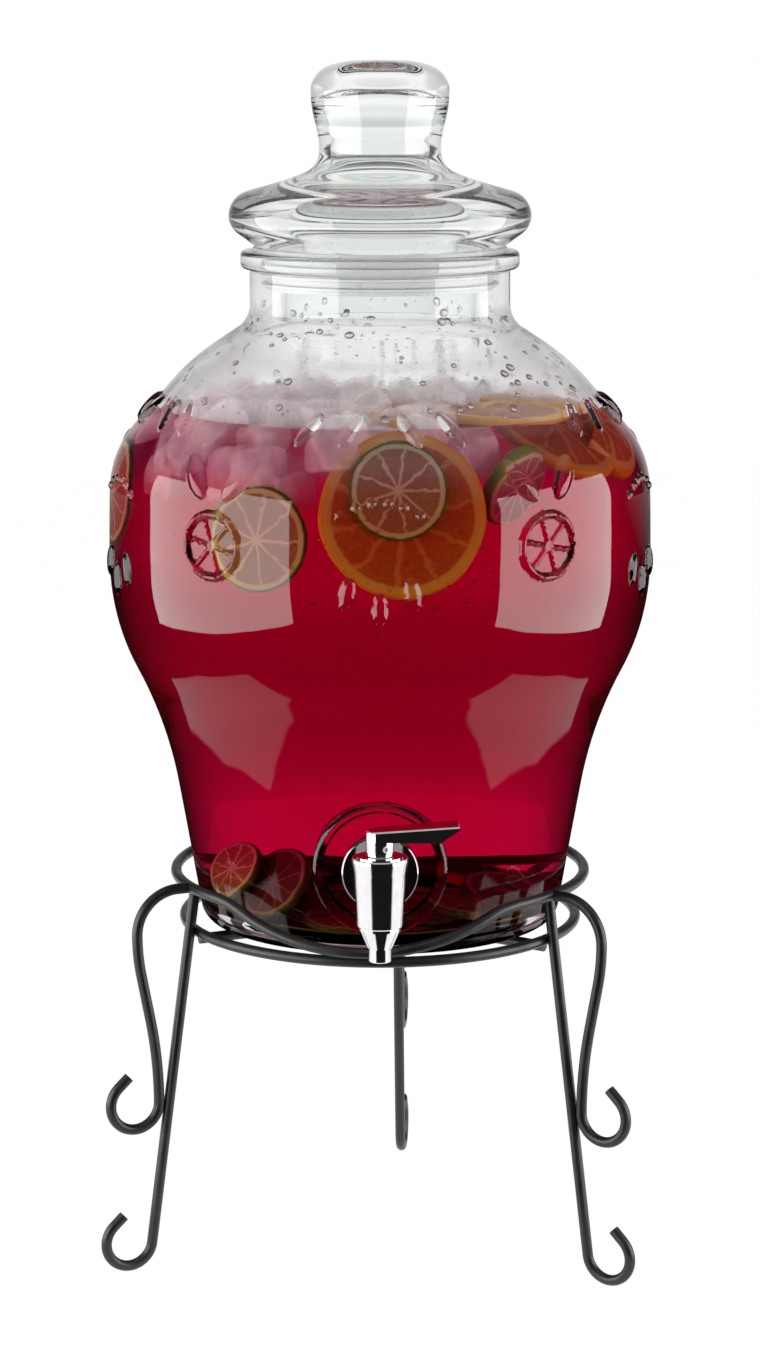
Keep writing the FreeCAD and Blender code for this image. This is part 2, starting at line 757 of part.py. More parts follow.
def build():
    """Every node by name."""
    gallery = gallery_ring()
    nodes = {"base_ring": base_ring(), "gallery_ring": gallery}
    gallery_here = turned(gallery, -stand_turn)
    for name, angle in leg_angles.items():
        seat = turned(gallery_here, -angle)
        place = angle + stand_turn
        nodes[name + "_leg"] = turned(leg(seat), place)
        nodes[name + "_scroll"] = turned(scroll(seat), place)
        nodes[name + "_spoke"] = turned(spoke(), place)
    nodes["glass_jar"] = glass_jar()
    nodes["tap_body"] = tap_body()
    nodes["tap_nozzle"] = tap_nozzle()
    nodes["tap_bonnet"] = bonnet()
    nodes["outer_gasket"] = gasket_ring(gasket_r, -pad_y - gasket_t, gasket_t)
    nodes["inner_gasket"] = gasket_ring(inner_gasket_r, pad_inner_y, gasket_t)
    nodes["nut_washer"] = gasket_ring(washer_r, pad_inner_y + gasket_t, washer_t)
    nodes["shank_nut"] = shank_nut()
    nodes["valve_rotor"] = valve_rotor()
    lower, upper = oring_heights()
    nodes["lower_oring"] = rotor_oring(lower)
    nodes["upper_oring"] = rotor_oring(upper)
    nodes["lever"] = lever()
    nodes["lever_grub_screw"] = lever_grub_screw()
    nodes["lid_glass"] = lid_glass()
    nodes["lid_seal"] = lid_seal()
    return nodes


os.makedirs("parts", exist_ok=True)
for name, shape in build().items():
    shape.exportStep("parts/" + name + ".step")
    solids = len(shape.Solids)
    print(name, "solids", solids, "valid", shape.isValid(), "volume_mm3", round(shape.Volume, 1))
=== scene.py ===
import math
import random

import bmesh
import bpy
from mathutils import Matrix, Vector, noise
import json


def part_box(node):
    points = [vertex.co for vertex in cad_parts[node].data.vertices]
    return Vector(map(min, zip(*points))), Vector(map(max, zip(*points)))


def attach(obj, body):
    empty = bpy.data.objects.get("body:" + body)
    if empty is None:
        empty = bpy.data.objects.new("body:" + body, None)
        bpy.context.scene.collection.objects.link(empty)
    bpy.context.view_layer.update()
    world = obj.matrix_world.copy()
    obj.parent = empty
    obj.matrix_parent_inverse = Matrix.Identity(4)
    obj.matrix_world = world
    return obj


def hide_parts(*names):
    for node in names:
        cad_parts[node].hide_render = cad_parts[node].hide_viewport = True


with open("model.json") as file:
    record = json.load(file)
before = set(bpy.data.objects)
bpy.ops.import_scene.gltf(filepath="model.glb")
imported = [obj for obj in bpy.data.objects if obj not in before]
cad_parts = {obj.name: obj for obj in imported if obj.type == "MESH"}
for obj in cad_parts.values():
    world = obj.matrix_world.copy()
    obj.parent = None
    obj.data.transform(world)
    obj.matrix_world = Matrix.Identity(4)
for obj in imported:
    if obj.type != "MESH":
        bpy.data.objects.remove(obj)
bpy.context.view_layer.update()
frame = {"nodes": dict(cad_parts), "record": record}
scene = bpy.context.scene
scene.view_settings.view_transform = "Standard"

# Rays through glass, drink and ice cross many faces
scene.cycles.max_bounces = 28
scene.cycles.transmission_bounces = 26
scene.cycles.glossy_bounces = 8
scene.cycles.diffuse_bounces = 4
scene.cycles.transparent_max_bounces = 24
scene.cycles.sample_clamp_indirect = 3.0

MM = 0.001
jar_low, jar_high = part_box("glass_jar")
lid_low, lid_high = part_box("lid_glass")
pad_low, pad_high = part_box("outer_gasket")
nozzle_low, nozzle_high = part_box("tap_nozzle")

# Jar: stations of the outer face by radius, height above the station before and lean from the vertical
GLASS_WALL = 4.8 * MM
GLASS_BASE = 9.0 * MM
HEEL_R = 7.0 * MM
FOOT_R = 85.0 * MM
FOOT_LEAN = 9.5
FLARE = (114.2 * MM, 121.6 * MM, 27.4)
BELLY = (126.3 * MM, 50.5 * MM)
SHOULDER = (114.3 * MM, 61.8 * MM, 41.3)
THROAT = (78.5 * MM, 36.4 * MM, 55.1)
NECK = (60.2 * MM, 19.4 * MM)
COLLAR_STEP = 4.2 * MM
COLLAR_H = 8.0 * MM
COLLAR_EDGE = 2.2 * MM
COLLAR_FILLET = 0.8 * MM
MOUTH_LIP = 1.5 * MM
PUNT_H = 2.5 * MM
PUNT_RIM = 18.0 * MM
PAD_R = 30.5 * MM
PAD_EDGE = 2.4 * MM
PAD_GLASS = 5.0 * MM
PAD_STAND = 12.5 * MM
PAD_ROOT_Y = -84.0 * MM
PAD_RECESS_Y = -70.0 * MM
SHANK_HOLE_R = 8.4 * MM
SHANK_ROOM_R = 13.9 * MM
SHANK_ROOM_Y = -75.0 * MM
BARREL_Y = (nozzle_low.y + nozzle_high.y) / 2

JAR_BOTTOM = jar_low.z
JAR_TOP = jar_high.z
TAP_Z = (pad_low.z + pad_high.z) / 2
PAD_Y = -(FOOT_R + PAD_STAND)
FLOOR_Z = JAR_BOTTOM + GLASS_BASE
FLARE_Z = JAR_BOTTOM + FLARE[1]
BELLY_Z = FLARE_Z + BELLY[1]
SHOULDER_Z = BELLY_Z + SHOULDER[1]
THROAT_Z = SHOULDER_Z + THROAT[1]
NECK_Z = THROAT_Z + NECK[1]
COLLAR_Z = JAR_TOP - COLLAR_H

# Lid: stations of the outer face by radius and height above the station before, then by depth under the top
PLUG_R = 48.0 * MM
PLUG_H = 33.2 * MM
LID_WALL = 4.8 * MM
LID_SEAT_R = 57.0 * MM
LID_RIM = (69.7 * MM, 14.3 * MM)
BRIM = (44.6 * MM, 15.8 * MM)
WAIST = (28.0 * MM, 13.2 * MM)
KNOB = (31.8 * MM, 14.0 * MM)
CROWN = (23.5 * MM, 2.6 * MM)
LID_TOP = lid_high.z
PLUG_BOTTOM = lid_low.z
LID_SEAT = PLUG_BOTTOM + PLUG_H

# Its hollow: the roof's edge by radius and drop, the knob by its depth under the top, the rest over the seat
ROOF_DEPTH = 13.5 * MM
ROOF_EDGE = (19.0 * MM, 1.6 * MM)
KNOB_HOLLOW = (27.2 * MM, 24.0 * MM)
WAIST_HOLLOW = (23.0 * MM, 40.8 * MM)
BRIM_HOLLOW = (34.5 * MM, 26.8 * MM)
PLUG_SHOULDER = 16.8 * MM

# Drink: pale melt water over layers of sunk colour, each with its top, density and colour
DRINK_TOP = 401.0 * MM
DRINK_RIM = 1.6 * MM
DRINK_OVERLAP = 0.12 * MM
MIST_TOP = 446.0 * MM
TINT_FADE = (368 * MM, 384 * MM)
TINT = (1.0, 0.9, 0.43)
PALE_COLOUR = (0.84, 0.0, 0.30)
PALE_DENSITY = 10.0
COLOUR_LAYERS = (
    (392 * MM, 8.0, (0.84, 0.0, 0.75)),
    (382 * MM, 10.0, (0.84, 0.0, 0.85)),
    (371 * MM, 22.0, (1.0, 0.0, 0.95)),
)


# Outlines

def at(r, angle, z):
    """A place by radius, angle from the front and height."""
    return Vector((r * math.sin(angle), -r * math.cos(angle), z))


def turned_in_plane(vector, angle):
    """A plane vector (radius, height) turned from the radius towards the height."""
    c, s = math.cos(angle), math.sin(angle)
    return Vector((vector.x * c - vector.y * s, vector.x * s + vector.y * c))


def arc_points(start, heading, end, step):
    """Points along the circular arc that leaves start on a heading, without its start."""
    chord = end - start
    turn = math.atan2(heading.x * chord.y - heading.y * chord.x, heading.dot(chord))
    if abs(turn) < 1e-4:
        count = max(1, math.ceil(chord.length / step))
        return [start + chord * (i / count) for i in range(1, count + 1)]
    radius = chord.length / 2 / math.sin(turn)
    centre = start + Vector((-heading.y, heading.x)) * radius
    count = max(2, math.ceil(abs(radius * 2 * turn) / step), math.ceil(abs(turn) / 0.09))
    arm = start - centre
    return [centre + turned_in_plane(arm, 2 * turn * i / count) for i in range(1, count + 1)]


def through(stations, step):
    """Points on tangent arcs, two between each pair of stations (radius, height, heading in degrees)."""
    points = [Vector(stations[0][:2])]
    for (r0, z0, heading0), (r1, z1, heading1) in zip(stations, stations[1:]):
        start, end = Vector((r0, z0)), Vector((r1, z1))
        leave = turned_in_plane(Vector((1, 0)), math.radians(heading0))
        arrive = turned_in_plane(Vector((1, 0)), math.radians(heading1))
        gap = end - start
        along = gap.dot(leave + arrive)
        bend = 2 * (1 - leave.dot(arrive))
        if bend < 1e-9:
            reach = gap.dot(gap) / (4 * gap.dot(arrive))
        else:
            reach = (math.sqrt(along * along + bend * gap.dot(gap)) - along) / bend
        middle = (start + end + (leave - arrive) * reach) * 0.5
        points += arc_points(start, leave, middle, step)
        back = arc_points(end, -arrive, middle, step)
        points += back[-2::-1] + [end]
    return points


def straight(points, step):
    """Points along straight runs, so that a revolve has even faces."""
    out = [Vector(points[0])]
    for a, b in zip(points, points[1:]):
        a, b = Vector(a), Vector(b)
        count = max(1, math.ceil((b - a).length / step))
        out += [a.lerp(b, i / count) for i in range(1, count + 1)]
    return out


def jar_side(inset):
    """Stations of the jar's side, moved in by a depth of glass."""
    stations = [
        (FOOT_R, JAR_BOTTOM + HEEL_R, 90 - FOOT_LEAN),
        (FLARE[0], FLARE_Z, 90 - FLARE[2]),
        (BELLY[0], BELLY_Z, 90),
        (SHOULDER[0], SHOULDER_Z, 90 + SHOULDER[2]),
        (THROAT[0], THROAT_Z, 90 + THROAT[2]),
        (NECK[0], NECK_Z, 90),
    ]
    return [
        (r - inset * math.sin(math.radians(heading)), z + inset * math.cos(math.radians(heading)), heading)
        for r, z, heading in stations
    ]


def jar_outer_line(step):
    flat_r = FOOT_R - HEEL_R
    punt_r = flat_r - PUNT_RIM
    rim = NECK[0] + COLLAR_STEP - COLLAR_EDGE
    punt_z = JAR_BOTTOM + PUNT_H
    foot = [(0, punt_z), (punt_r, punt_z), (punt_r + PUNT_H, JAR_BOTTOM), (flat_r, JAR_BOTTOM)]
    line = straight(foot, step)
    line += through([(flat_r, JAR_BOTTOM, 0)] + jar_side(0), step)[1:]
    fillet_z = COLLAR_Z - COLLAR_FILLET
    line += straight([(NECK[0], NECK_Z), (NECK[0], fillet_z)], step)[1:]
    line += through([(NECK[0], fillet_z, 90), (NECK[0] + COLLAR_FILLET, COLLAR_Z, 0)], step)[1:]
    line += through([(rim, COLLAR_Z, 0), (rim + COLLAR_EDGE, COLLAR_Z + COLLAR_EDGE, 90)], step)
    line += through([(rim + COLLAR_EDGE, JAR_TOP - COLLAR_EDGE, 90), (rim, JAR_TOP, 180)], step)
    return line


def jar_inner_line(step, inset=GLASS_WALL):
    """The hollow's outline from the middle of the floor to the mouth."""
    side = jar_side(inset)
    floor = FLOOR_Z + inset - GLASS_WALL
    side[0] = (side[0][0], floor + HEEL_R, side[0][2])
    heel = side[0][0] - HEEL_R
    line = straight([(0, floor), (heel, floor)], step)
    line += through([(heel, floor, 0)] + side, step)[1:]
    return line


def lid_outer_line(step):
    bore = PLUG_R - LID_WALL
    plug = [(bore, PLUG_BOTTOM), (PLUG_R, PLUG_BOTTOM), (PLUG_R, LID_SEAT), (LID_SEAT_R, LID_SEAT)]
    rim_z = LID_SEAT + LID_RIM[1]
    brim_z = rim_z + BRIM[1]
    return straight(plug, step) + through([
        (LID_SEAT_R, LID_SEAT, 37.3),
        (LID_RIM[0], rim_z, 90),
        (BRIM[0], brim_z, 163),
        (WAIST[0], brim_z + WAIST[1], 90),
        (KNOB[0], LID_TOP - KNOB[1], 90),
        (CROWN[0], LID_TOP - CROWN[1], 160.2),
        (0, LID_TOP, 180),
    ], step)[1:]


def lid_hollow_line(step):
    roof = LID_TOP - ROOF_DEPTH
    bore = PLUG_R - LID_WALL
    shoulder = LID_SEAT + PLUG_SHOULDER
    line = through([
        (0, roof, 0),
        (ROOF_EDGE[0], roof - ROOF_EDGE[1], -20),
        (KNOB_HOLLOW[0], LID_TOP - KNOB_HOLLOW[1], -90),
        (WAIST_HOLLOW[0], LID_SEAT + WAIST_HOLLOW[1], -90),
        (BRIM_HOLLOW[0], LID_SEAT + BRIM_HOLLOW[1], -22),
        (bore, shoulder, -90),
    ], step)
    return line + straight([(bore, shoulder), (bore, PLUG_BOTTOM)], step)[1:]


def radius_at(line, z):
    """The radius of an outline that rises with each point, at a height."""
    for a, b in zip(line, line[1:]):
        if a.y <= z <= b.y and b.y > a.y:
            return a.x + (b.x - a.x) * (z - a.y) / (b.y - a.y)
    return line[-1].x


# Meshes

def new_piece(name, bm, *materials, smooth=True):
    mesh = finished_mesh(bm, name)
    obj = bpy.data.objects.new(name, mesh)
    scene.collection.objects.link(obj)
    for material in materials:
        mesh.materials.append(material)
    if smooth:
        for face in mesh.polygons:
            face.use_smooth = True
    return obj


def revolve(bm, line, around, wall=None):
    """Faces of an outline turned about Z, as rings. wall gives a point's (radius, height) at an angle."""
    rings = []
    for point in line:
        if point.x < 1e-7:
            rings.append([bm.verts.new((0, 0, point.y))])
            continue
        ring = []
        for k in range(around):
            angle = 2 * math.pi * k / around
            r, z = (point.x, point.y) if wall is None else wall(point, angle)
            ring.append(bm.verts.new(at(r, angle, z)))
        rings.append(ring)
    for low, high in zip(rings, rings[1:]):
        bridge(bm, low, high)
    return rings


def bridge(bm, low, high):
    """Faces between two rings, one of which may be a point on the axis or have twice as many corners."""
    if len(low) == len(high) == 1:
        return
    if len(low) > 1 and len(high) > 1 and len(low) != len(high):
        coarse, fine = sorted((low, high), key=len)
        for k in range(len(coarse)):
            j = (k + 1) % len(coarse)
            middle = fine[2 * k + 1]
            bm.faces.new((coarse[k], middle, fine[2 * k]))
            bm.faces.new((coarse[k], coarse[j], middle))
            bm.faces.new((coarse[j], fine[(2 * k + 2) % len(fine)], middle))
        return
    count = max(len(low), len(high))
    for k in range(count):
        j = (k + 1) % count
        if len(low) == 1:
            bm.faces.new((low[0], high[j], high[k]))
        elif len(high) == 1:
            bm.faces.new((low[k], low[j], high[0]))
        else:
            bm.faces.new((low[k], low[j], high[j], high[k]))


def finished_mesh(bm, name):
    bmesh.ops.recalc_face_normals(bm, faces=bm.faces)
    mesh = bpy.data.meshes.new(name)
    bm.to_mesh(mesh)
    bm.free()
    return mesh


# Materials

GLASS_IOR = 1.5
WATER_IOR = 1.33
AIR_IN_WATER_IOR = 0.75
GLASS_TINT = (0.985, 0.995, 0.99)
ICE_COLOUR = (0.80, 0.74, 0.77)
# Where the chrome gets painted shade by the glass, by Y
FLANGE_SHADE_Y = (-107 * MM, -104 * MM)


class Tree:
    """The shader nodes of a material or of the world, with short ways to add them. Colours are (R, G, B)."""

    def __init__(self, owner, output):
        owner.use_nodes = True
        self.owner = owner
        self.nodes, self.links = owner.node_tree.nodes, owner.node_tree.links
        self.nodes.clear()
        self.output = self.nodes.new(output)

    def give(self, socket, value):
        """Sets a socket to a value, or links it to an output or to a node's first output."""
        if isinstance(value, bpy.types.Node):
            value = value.outputs[0]
        if isinstance(value, bpy.types.NodeSocket):
            self.links.new(value, socket)
        elif socket.type == "RGBA":
            socket.default_value = (*value, 1)
        else:
            socket.default_value = value

    def node(self, kind, **inputs):
        """A node with its inputs by name, where _ stands for a space."""
        node = self.nodes.new("ShaderNode" + kind)
        for name, value in inputs.items():
            self.give(node.inputs[name.replace("_", " ")], value)
        return node

    def surface(self, shader, shade=None):
        """Makes a shader the surface and returns the material. With a shade, lamps shine through it."""
        if shade:
            clear = self.node("BsdfTransparent", Color=shade)
            shader = self.mix(self.ray("Is Shadow Ray"), shader, clear)
        self.give(self.output.inputs["Surface"], shader)
        return self.owner

    def absorb(self, colour, density):
        """Takes colour out of the light on its way through the inside."""
        self.give(self.output.inputs["Volume"], self.node("VolumeAbsorption", Color=colour, Density=density))

    def place(self):
        return self.node("TexCoord").outputs["Object"]

    def axes(self):
        """The object's own coordinates, by X, Y and Z."""
        return self.node("SeparateXYZ", Vector=self.place()).outputs

    def ray(self, kind):
        return self.node("LightPath").outputs[kind]

    def noise(self, scale, detail=4.0, rough=0.55, stretch=None):
        """A noise over the object's own coordinates."""
        place = self.node("Mapping", Vector=self.place(), Scale=stretch) if stretch else self.place()
        return self.node("TexNoise", Vector=place, Scale=scale, Detail=detail, Roughness=rough).outputs["Fac"]

    def ramp(self, value, *stops):
        """A colour ramp over a value, with stops of (place, colour) or (place, grey)."""
        node = self.node("ValToRGB", Fac=value)
        elements = node.color_ramp.elements
        while len(elements) < len(stops):
            elements.new(0.5)
        for element, (place, colour) in zip(elements, stops):
            element.position = place
            element.color = (*colour, 1) if isinstance(colour, tuple) else (colour, colour, colour, 1)
        return node

    def map_range(self, value, low, high, to_low=0.0, to_high=1.0):
        return self.node("MapRange", Value=value, From_Min=low, From_Max=high, To_Min=to_low, To_Max=to_high)

    def bump(self, height, distance, strength=1.0):
        return self.node("Bump", Height=height, Distance=distance, Strength=strength)

    def calc(self, operation, a, b=None):
        node = self.node("Math")
        node.operation = operation
        for socket, value in zip(node.inputs, (a, b)):
            if value is not None:
                self.give(socket, value)
        return node

    def times(self, a, b):
        return self.calc("MULTIPLY", a, b)

    def mix(self, share, first, second):
        """Two shaders, by the share of the second."""
        node = self.node("MixShader", Fac=share)
        self.give(node.inputs[1], first)
        self.give(node.inputs[2], second)
        return node

    def mix_colours(self, share, first, second, blend="MIX"):
        node = self.node("Mix")
        node.data_type = "RGBA"
        node.blend_type = blend
        for name, value in (("Factor", share), ("A", first), ("B", second)):
            self.give(node.inputs[name], value)
        return node.outputs["Result"]

    def clear_glass(self, colour, index, **values):
        values = {"Roughness": 0.0, **values}
        return self.node("BsdfPrincipled", Base_Color=colour, IOR=index, Transmission_Weight=1.0, **values)

    def mottled(self, patches, dark, light, roughness, **values):
        """A shader whose colour and roughness follow a noise."""
        colour = self.ramp(patches, (0.3, dark), (0.7, light))
        roughness = self.map_range(patches, 0.3, 0.7, *roughness)
        return self.node("BsdfPrincipled", Base_Color=colour, Roughness=roughness, **values)

    def cloudy(self, colour, share, roughness, normal):
        """A shader that lets a share of the light shine through in all directions."""
        values = {"Specular_IOR_Level": 0.4, "Roughness": roughness, "Normal": normal}
        shader = self.node("BsdfPrincipled", Base_Color=colour, **values)
        return self.mix(share, shader, self.node("BsdfTranslucent", Color=colour))


def new_material(name):
    return Tree(bpy.data.materials.new(name), "ShaderNodeOutputMaterial")


def glass_material(name, colour, waviness):
    """Clear glass with the slight waves of blown or pressed glass."""
    tree = new_material(name)
    waves = tree.bump(tree.noise(26.0, detail=1.5), waviness)
    shader = tree.clear_glass(colour, GLASS_IOR, Normal=waves)
    return tree.surface(shader, colour)


def wet_glass_material():
    """The jar's inner face where the drink wets it: it bends light and reflects next to none."""
    tree = new_material("wet_glass")
    waves = tree.bump(tree.noise(26.0, detail=1.5), 0.1 * MM)
    shader = tree.node("BsdfRefraction", IOR=GLASS_IOR, Roughness=0.0, Normal=waves)
    return tree.surface(shader, GLASS_TINT)


def misted_glass_material():
    """The jar's inner face above the drink, with fine condensation in patches."""
    tree = new_material("misted_glass")
    patches = tree.noise(34.0, detail=3.0)
    grains = tree.noise(900.0, detail=2.0)
    height = tree.times(grains, tree.map_range(patches, 0.42, 0.60, 0.15, 1.0))
    roughness = tree.map_range(patches, 0.42, 0.62, 0.0, 0.04)
    normal = tree.bump(height, 0.12 * MM, 0.3)
    shader = tree.clear_glass((0.985, 0.99, 0.99), GLASS_IOR, Roughness=roughness, Normal=normal)
    return tree.surface(shader, (0.97, 0.98, 0.98))


def water_material(name, index):
    tree = new_material(name)
    wave = tree.bump(tree.noise(200.0, detail=1.0), 0.02 * MM, 0.3)
    shader = tree.clear_glass((1, 1, 1), index, Normal=wave)
    return tree.surface(shader, (0.98, 0.98, 0.98))


def drink_material():
    """Red drink: water's refraction, a tint low at its side and no reflection where it touches the glass."""
    tree = new_material("red_drink")
    z = tree.axes()["Z"]
    tint = tree.ramp(tree.map_range(z, *TINT_FADE), (0.0, TINT), (1.0, 1.0))
    side = tree.node("BsdfRefraction", Color=tint, IOR=WATER_IOR, Roughness=0.0)
    top = tree.clear_glass((1, 1, 1), WATER_IOR)
    at_top = tree.map_range(z, DRINK_TOP - 6 * MM, DRINK_TOP - 4 * MM)
    tree.absorb(PALE_COLOUR, PALE_DENSITY)
    return tree.surface(tree.mix(at_top, side, top), (0.95, 0.45, 0.5))


def colour_layer_material(name, density, colour):
    """Colour that has sunk in the drink: no surface, only what it takes out of the light."""
    tree = new_material(name)
    tree.absorb(colour, density)
    return tree.surface(tree.node("BsdfTransparent"))


def wire_material():
    """Satin black powder coat with its fine orange peel."""
    tree = new_material("black_powder_coat")
    dark, light = (0.006, 0.006, 0.007), (0.013, 0.013, 0.014)
    grain = tree.bump(tree.noise(2600.0, detail=2.0), 0.05 * MM, 0.5)
    shader = tree.mottled(tree.noise(90.0), dark, light, (0.30, 0.42), Metallic=0.0, Normal=grain)
    return tree.surface(shader)


def chrome_material():
    """Polished chrome plate with faint smudges, and painted shade that darkens it at the flange by the glass,
    so that it mirrors less of the lamps. Glass doesn't mirror it.
    """
    tree = new_material("polished_chrome")
    smudge = tree.noise(140.0, detail=5.0)
    plate = tree.ramp(smudge, (0.3, (0.80, 0.80, 0.81)), (0.7, 0.88))
    # Painted shade: the chrome darkens towards the glass, dimming the flange's reflections
    colour = tree.mix_colours(tree.map_range(tree.axes()["Y"], *FLANGE_SHADE_Y), plate, (0.28, 0.26, 0.26))
    roughness = tree.map_range(smudge, 0.35, 0.75, 0.05, 0.12)
    ripple = tree.bump(tree.noise(300.0, detail=1.0), 0.02 * MM, 0.4)
    shader = tree.node("BsdfPrincipled", Metallic=1.0, Base_Color=colour, Roughness=roughness, Normal=ripple)
    in_glass = tree.times(tree.ray("Is Reflection Ray"), tree.ray("Is Singular Ray"))
    return tree.surface(tree.mix(in_glass, shader, tree.node("BsdfTransparent")))


def steel_material():
    """Turned stainless steel."""
    tree = new_material("turned_steel")
    lines = tree.noise(60.0, stretch=(1, 40, 1))
    dark, light = (0.50, 0.50, 0.49), (0.68, 0.68, 0.66)
    normal = tree.bump(lines, 0.03 * MM, 0.5)
    return tree.surface(tree.mottled(lines, dark, light, (0.22, 0.38), Metallic=1.0, Normal=normal))


def soft_material(name, dark, light, roughness, transmission=0.0):
    """Rubber, plastic or silicone with a fine moulded texture."""
    tree = new_material(name)
    patches = tree.noise(220.0)
    values = {"IOR": 1.42, "Transmission_Weight": transmission, "Normal": tree.bump(patches, 0.05 * MM, 0.5)}
    return tree.surface(tree.mottled(patches, dark, light, roughness, **values))


def citrus_material(name, segments, rind, pith, flesh, deep, core):
    """A cut slice in units of its own radius: rind, pith, segments with their skins, and the core."""
    tree = new_material(name)
    axes = tree.axes()
    x, y = axes["X"], axes["Y"]
    wobble = tree.noise(5.0, detail=2.0)
    square = tree.calc("ADD", tree.times(x, x), tree.times(y, y))
    uneven = tree.times(tree.calc("SUBTRACT", wobble, 0.5), 0.05)
    radius = tree.calc("ADD", tree.calc("POWER", square, 0.5), uneven)
    turns = tree.times(tree.calc("ARCTAN2", y, x), segments / (2 * math.pi))
    turns = tree.calc("ADD", turns, tree.times(wobble, 0.5))
    saw = tree.calc("PINGPONG", turns, 0.5)
    skin = tree.times(tree.times(saw, radius), 2 * math.pi / segments)
    pulp = tree.noise(14.0, detail=3.0, rough=0.7)
    colour = tree.ramp(pulp, (0.3, deep), (0.7, flesh))
    colour = tree.mix_colours(tree.map_range(skin, 0.012, 0.045, 1.0, 0.0), colour, core)
    in_pith = tree.ramp(radius, (0.0, 1), (0.05, 1), (0.09, 0), (0.84, 0), (0.87, 1), (1.0, 1))
    colour = tree.mix_colours(in_pith, colour, pith)
    colour = tree.mix_colours(tree.map_range(radius, 0.94, 0.965), colour, rind)
    return tree.surface(tree.cloudy(colour, 0.35, 0.35, tree.bump(pulp, 0.4 * MM, 0.6)))


def ice_material():
    """Ice in the drink: cloudy cores that fade out towards clear edges."""
    tree = new_material("cloudy_ice")
    cloud = tree.noise(1.6, detail=2.0, rough=0.5)
    body = tree.cloudy(ICE_COLOUR, 0.5, 0.2, tree.bump(cloud, 0.5 * MM, 0.4))
    rim = tree.node("LayerWeight", Blend=0.5).outputs["Facing"]
    core = tree.map_range(rim, 0.05, 0.75, 1.0, 0.04)
    density = tree.times(core, tree.map_range(cloud, 0.35, 0.65, 0.45, 0.9))
    return tree.surface(tree.mix(density, tree.node("BsdfTransparent"), body))


jar_glass = glass_material("blown_glass", GLASS_TINT, 0.25 * MM)
lid_glass = glass_material("pressed_glass", (0.962, 0.982, 0.970), 0.15 * MM)
wet_glass = wet_glass_material()
misted_glass = misted_glass_material()
# Painted shade: the jar's base is glass of a dark red colour, standing in for the shade under the jar
shaded_base_glass = glass_material("shaded_base_glass", (0.20, 0.11, 0.11), 0.25 * MM)
red_drink = drink_material()
cloudy_ice = ice_material()
orange_cut = citrus_material(
    "orange_slice", 10,
    rind=(0.62, 0.27, 0.02), pith=(0.62, 0.36, 0.10),
    flesh=(0.50, 0.12, 0.02), deep=(0.36, 0.06, 0.01), core=(0.56, 0.22, 0.06),
)
lime_cut = citrus_material(
    "lime_slice", 9,
    rind=(0.08, 0.16, 0.015), pith=(0.56, 0.55, 0.36),
    flesh=(0.37, 0.20, 0.12), deep=(0.26, 0.12, 0.07), core=(0.60, 0.49, 0.42),
)
# A lighter copy of the lime slice: painted light for the slice high in the drink at the right
lit_lime = citrus_material(
    "lit_lime_slice", 10,
    rind=(0.22, 0.33, 0.04), pith=(0.60, 0.60, 0.34),
    flesh=(0.42, 0.30, 0.20), deep=(0.30, 0.17, 0.10), core=(0.66, 0.58, 0.45),
)
# A much darker copy of the lime slice: painted shade for slices deep in the jar, on its floor and in the heap
shaded_lime = citrus_material(
    "shaded_lime_slice", 9,
    rind=(0.05, 0.10, 0.015), pith=(0.26, 0.24, 0.17),
    flesh=(0.12, 0.06, 0.05), deep=(0.07, 0.03, 0.03), core=(0.20, 0.14, 0.13),
)

SLOT_MATERIALS = {
    "stand_wire": wire_material(),
    "tap_chrome": chrome_material(),
    "gasket_rubber": soft_material("black_rubber", 0.02, 0.04, (0.55, 0.75)),
    "nut_steel": steel_material(),
    "valve_plastic": soft_material("white_acetal", (0.78, 0.78, 0.76), (0.86, 0.86, 0.84), (0.3, 0.45)),
    "seal_silicone": soft_material("clear_silicone", (0.93, 0.935, 0.93), 0.98, (0.25, 0.4), 0.75),
    "jar_glass": jar_glass,
    "lid_glass": lid_glass,
}

for part in frame["record"]["subparts"]:
    node = frame["nodes"][part["node"]]
    for slot in node.material_slots:
        slot.material = SLOT_MATERIALS[part["material_slot"]]
    for face in node.data.polygons:
        face.use_smooth = True


# Raised ornament of the jar's belly: five slices with leaves over them, and seeds, dots and crescents between

REPEATS = 5
PERIOD = 2 * math.pi / REPEATS
SLICE_Z, SLICE_R, SLICE_RIM, SLICE_H = 351 * MM, 14 * MM, 1.6 * MM, 2.2 * MM
SLICE_RIBS, RIB_SHARE, RIB_HALF, RIB_FADE = 3, 0.55, 0.9 * MM, 3 * MM
SEED_Z, SEED_R, SEED_L, SEED_H = 326 * MM, 3.4 * MM, 15 * MM, 2.2 * MM
SEED_FAN, SEED_RISE = (-6.5, 0, 6.5), 60 * MM
DOT_R, DOT_H, DOT_COUNT = 2.0 * MM, 1.6 * MM, 6
DOT_Z, DOT_STEP, DOT_DROP = 373 * MM, math.radians(3.2), 0.9 * MM
LEAF_Z, LEAF_R, LEAF_L, LEAF_H = 380 * MM, 4.4 * MM, 22 * MM, 2.6 * MM
LEAF_SIDE, LEAF_TILT = math.radians(5.5), math.radians(38)
CRESCENT_Z, CRESCENT_R, CRESCENT_L, CRESCENT_H = 402 * MM, 3.2 * MM, 19 * MM, 2.8 * MM
CRESCENT_SIDES, CRESCENT_TILT = (7, 17), math.radians(26)


def dome(share):
    """Height of a rounded blob at a share of the way to its edge."""
    return max(0.0, 1 - share * share) ** 0.6


def spindle(x, y, half_width, half_length, tilt):
    """A long rounded blob, pointed towards both ends and tilted from the vertical."""
    c, s = math.cos(tilt), math.sin(tilt)
    across, along = x * c + y * s, -x * s + y * c
    end = abs(along) / half_length
    if end >= 1:
        return 0.0
    width = half_width * (1 - end * end) ** 0.5
    return dome(abs(across) / width) * (1 - end * end) ** 0.4


